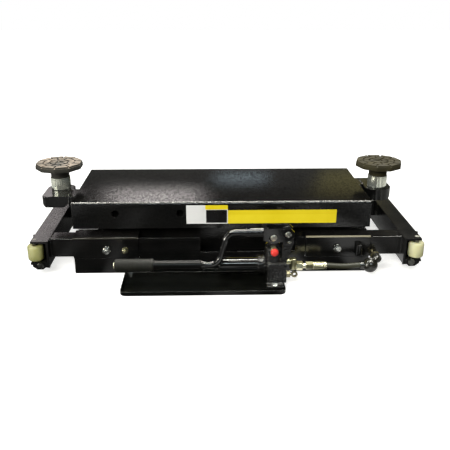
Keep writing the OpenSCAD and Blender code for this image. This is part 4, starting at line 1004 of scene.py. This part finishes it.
# --------------------------------------
# Handle. A bright black crank rod bent twice and swaged into a tube, with a
# ribbed rubber grip pushed over the tube's end and a bright plug in the grip.
tube_end = -0.0490
handle_coat = gloss_coat.copy()
handle_coat.name = "handle coat"
handle_tree = handle_coat.node_tree
handle_x = where(handle_tree, "X")
for socket, on_tube, on_rod in (("Roughness", 0.28, 0.06), ("Specular IOR Level", 0.14, 0.6)):
    handle_tree.links.new(ramp(handle_tree, handle_x, tube_end - 0.002, tube_end + 0.006,
                               on_tube, on_rod),
                          handle_tree.nodes["Principled BSDF"].inputs[socket])
eased("pump_handle", 0.0004, handle_coat)
fitting_zinc = plated_finish("fitting zinc", (0.66, 0.62, 0.42), (0.90, 0.86, 0.62),
                             420, (1, 1, 1), 0.20, 0.32, 0.00006)
grip_rubber = worked_finish("grip rubber", (0.006, 0.007, 0.005), (0.012, 0.012, 0.009),
                            700, (1, 1, 1), 0.50, 0.65, 0.00016, 0.15, (0.035, 0.035, 0.026))
set_shader(grip_rubber, {"Specular IOR Level": 0.22})
grip_foot = (-0.2467, lever_y, 0.0525)
grip_outline = [(0, 2.8), (10.2, 2.8), (12.6, 3.4), (14.0, 4.6), (14.4, 6.0), (14.4, 8.0)]
for rib in range(25):
    start = 9.0 + rib * 2.9
    grip_outline += [(14.4, start), (14.9, start + 0.5), (14.9, start + 1.6),
                     (14.4, start + 2.1)]
grip_outline += [(14.4, 82.6), (15.0, 83.4), (15.0, 88.6), (14.2, 90), (11.05, 90), (11.05, 4),
                 (0, 4)]
sleeve = bmesh.new()
turn(sleeve, grip_foot, (1, 0, 0), grip_outline, 48)
stand_in("handle_grip", sleeve, grip_rubber, 0, 1, 50)
plug = bmesh.new()
turn(plug, grip_foot, (1, 0, 0), ((0, 0), (6.6, 0), (7.6, 0.8), (7.6, 3.2), (0, 3.2)), 40)
stand_in("handle_grip", plug, fitting_zinc, 0.0002, name="grip_plug")

# --------------------------------------
# Hose fittings: the pump's outlet elbow, a swivel nut and the hose's own hex,
# zinc plated, then the ferrule with its long crimps.
olive_zinc = plated_finish("olive passivated zinc", (0.22, 0.22, 0.13), (0.42, 0.40, 0.25),
                           420, (1, 1, 1), 0.24, 0.36, 0.00008)
elbow_x = 0.162
elbow = bmesh.new()
turn(elbow, (0.141, hose_y, 0.046), (1, 0, 0), ((0, 0), (6.5, 0), (6.5, 21), (0, 21)), 40)
turn(elbow, (elbow_x, hose_y, 0.027), (0, 0, 1),
     ((0, 0), (6.6, 0), (8, 1.2), (8.5, 3.4), (8.5, 23.6), (8, 25.8), (6.6, 27), (0, 27)), 40)
stand_in("hose_fittings", elbow, olive_zinc, 0.0002, name="outlet_elbow")

swivel = bmesh.new()
turn(swivel, (elbow_x, hose_y, hose_z), (1, 0, 0), ((0, 0), (6, 0), (6, 9), (0, 9)), 40)
add_hex(swivel, (0.170, hose_y, hose_z), (1, 0, 0), 19, 14, 0.15, True)
turn(swivel, (0.183, hose_y, hose_z), (1, 0, 0), ((0, 0), (6, 0), (6, 10), (0, 10)), 40)
stand_in("hose_fittings", swivel, fitting_zinc, 0.0002, name="swivel_nut")

hose_hex = bmesh.new()
add_hex(hose_hex, (0.192, hose_y, hose_z), (1, 0, 0), 17, 16, 0.42, True)
stand_in("hose_fittings", hose_hex, olive_zinc, 0.0002, name="hose_hex")

ferrule_foot = (0.208, hose_y, hose_z)
crimped = bmesh.new()
turn(crimped, ferrule_foot, (1, 0, 0),
     ((0, 0), (7.4, 0), (8.6, 0.8), (9, 2), (9, 5), (8.2, 5.8), (8.2, 27.0), (8.9, 28.0),
      (9, 30.4), (8.4, 32), (0, 32)), 48)
add_ribs(crimped, 8, (0.0070, -0.0022, 0.0066), (0.00895, 0.0022, 0.0262), ferrule_foot, "Y")
stand_in("hose_fittings", crimped, fitting_zinc, 0.0002, name="crimped_ferrule")

# --------------------------------------
# Swivel elbow, a forged black ball joint by the frame's end, and the bent steel
# line that its union nut joins to the lifting cylinder.
forged_coat = worked_finish("forged coat", (0.008, 0.008, 0.005), (0.015, 0.014, 0.009),
                            300, (1, 1, 1), 0.20, 0.32, 0.00035, 0.05)
set_shader(forged_coat, {"IOR": 1.6})
eased("swivel_elbow", 0.0005, forged_coat, 3)
eased("pressure_line", 0.0005, passivated)

# --------------------------------------
# Release valve. A hex spindle with a turned eye, of steel that has gone dull and
# brown, screwed into the casting's side.
release_steel = plated_finish("release steel", (0.10, 0.09, 0.06), (0.34, 0.31, 0.20),
                              150, (1, 1, 1), 0.22, 0.36, 0.00008)
eased("release_knob", 0.0008, release_steel, 3)
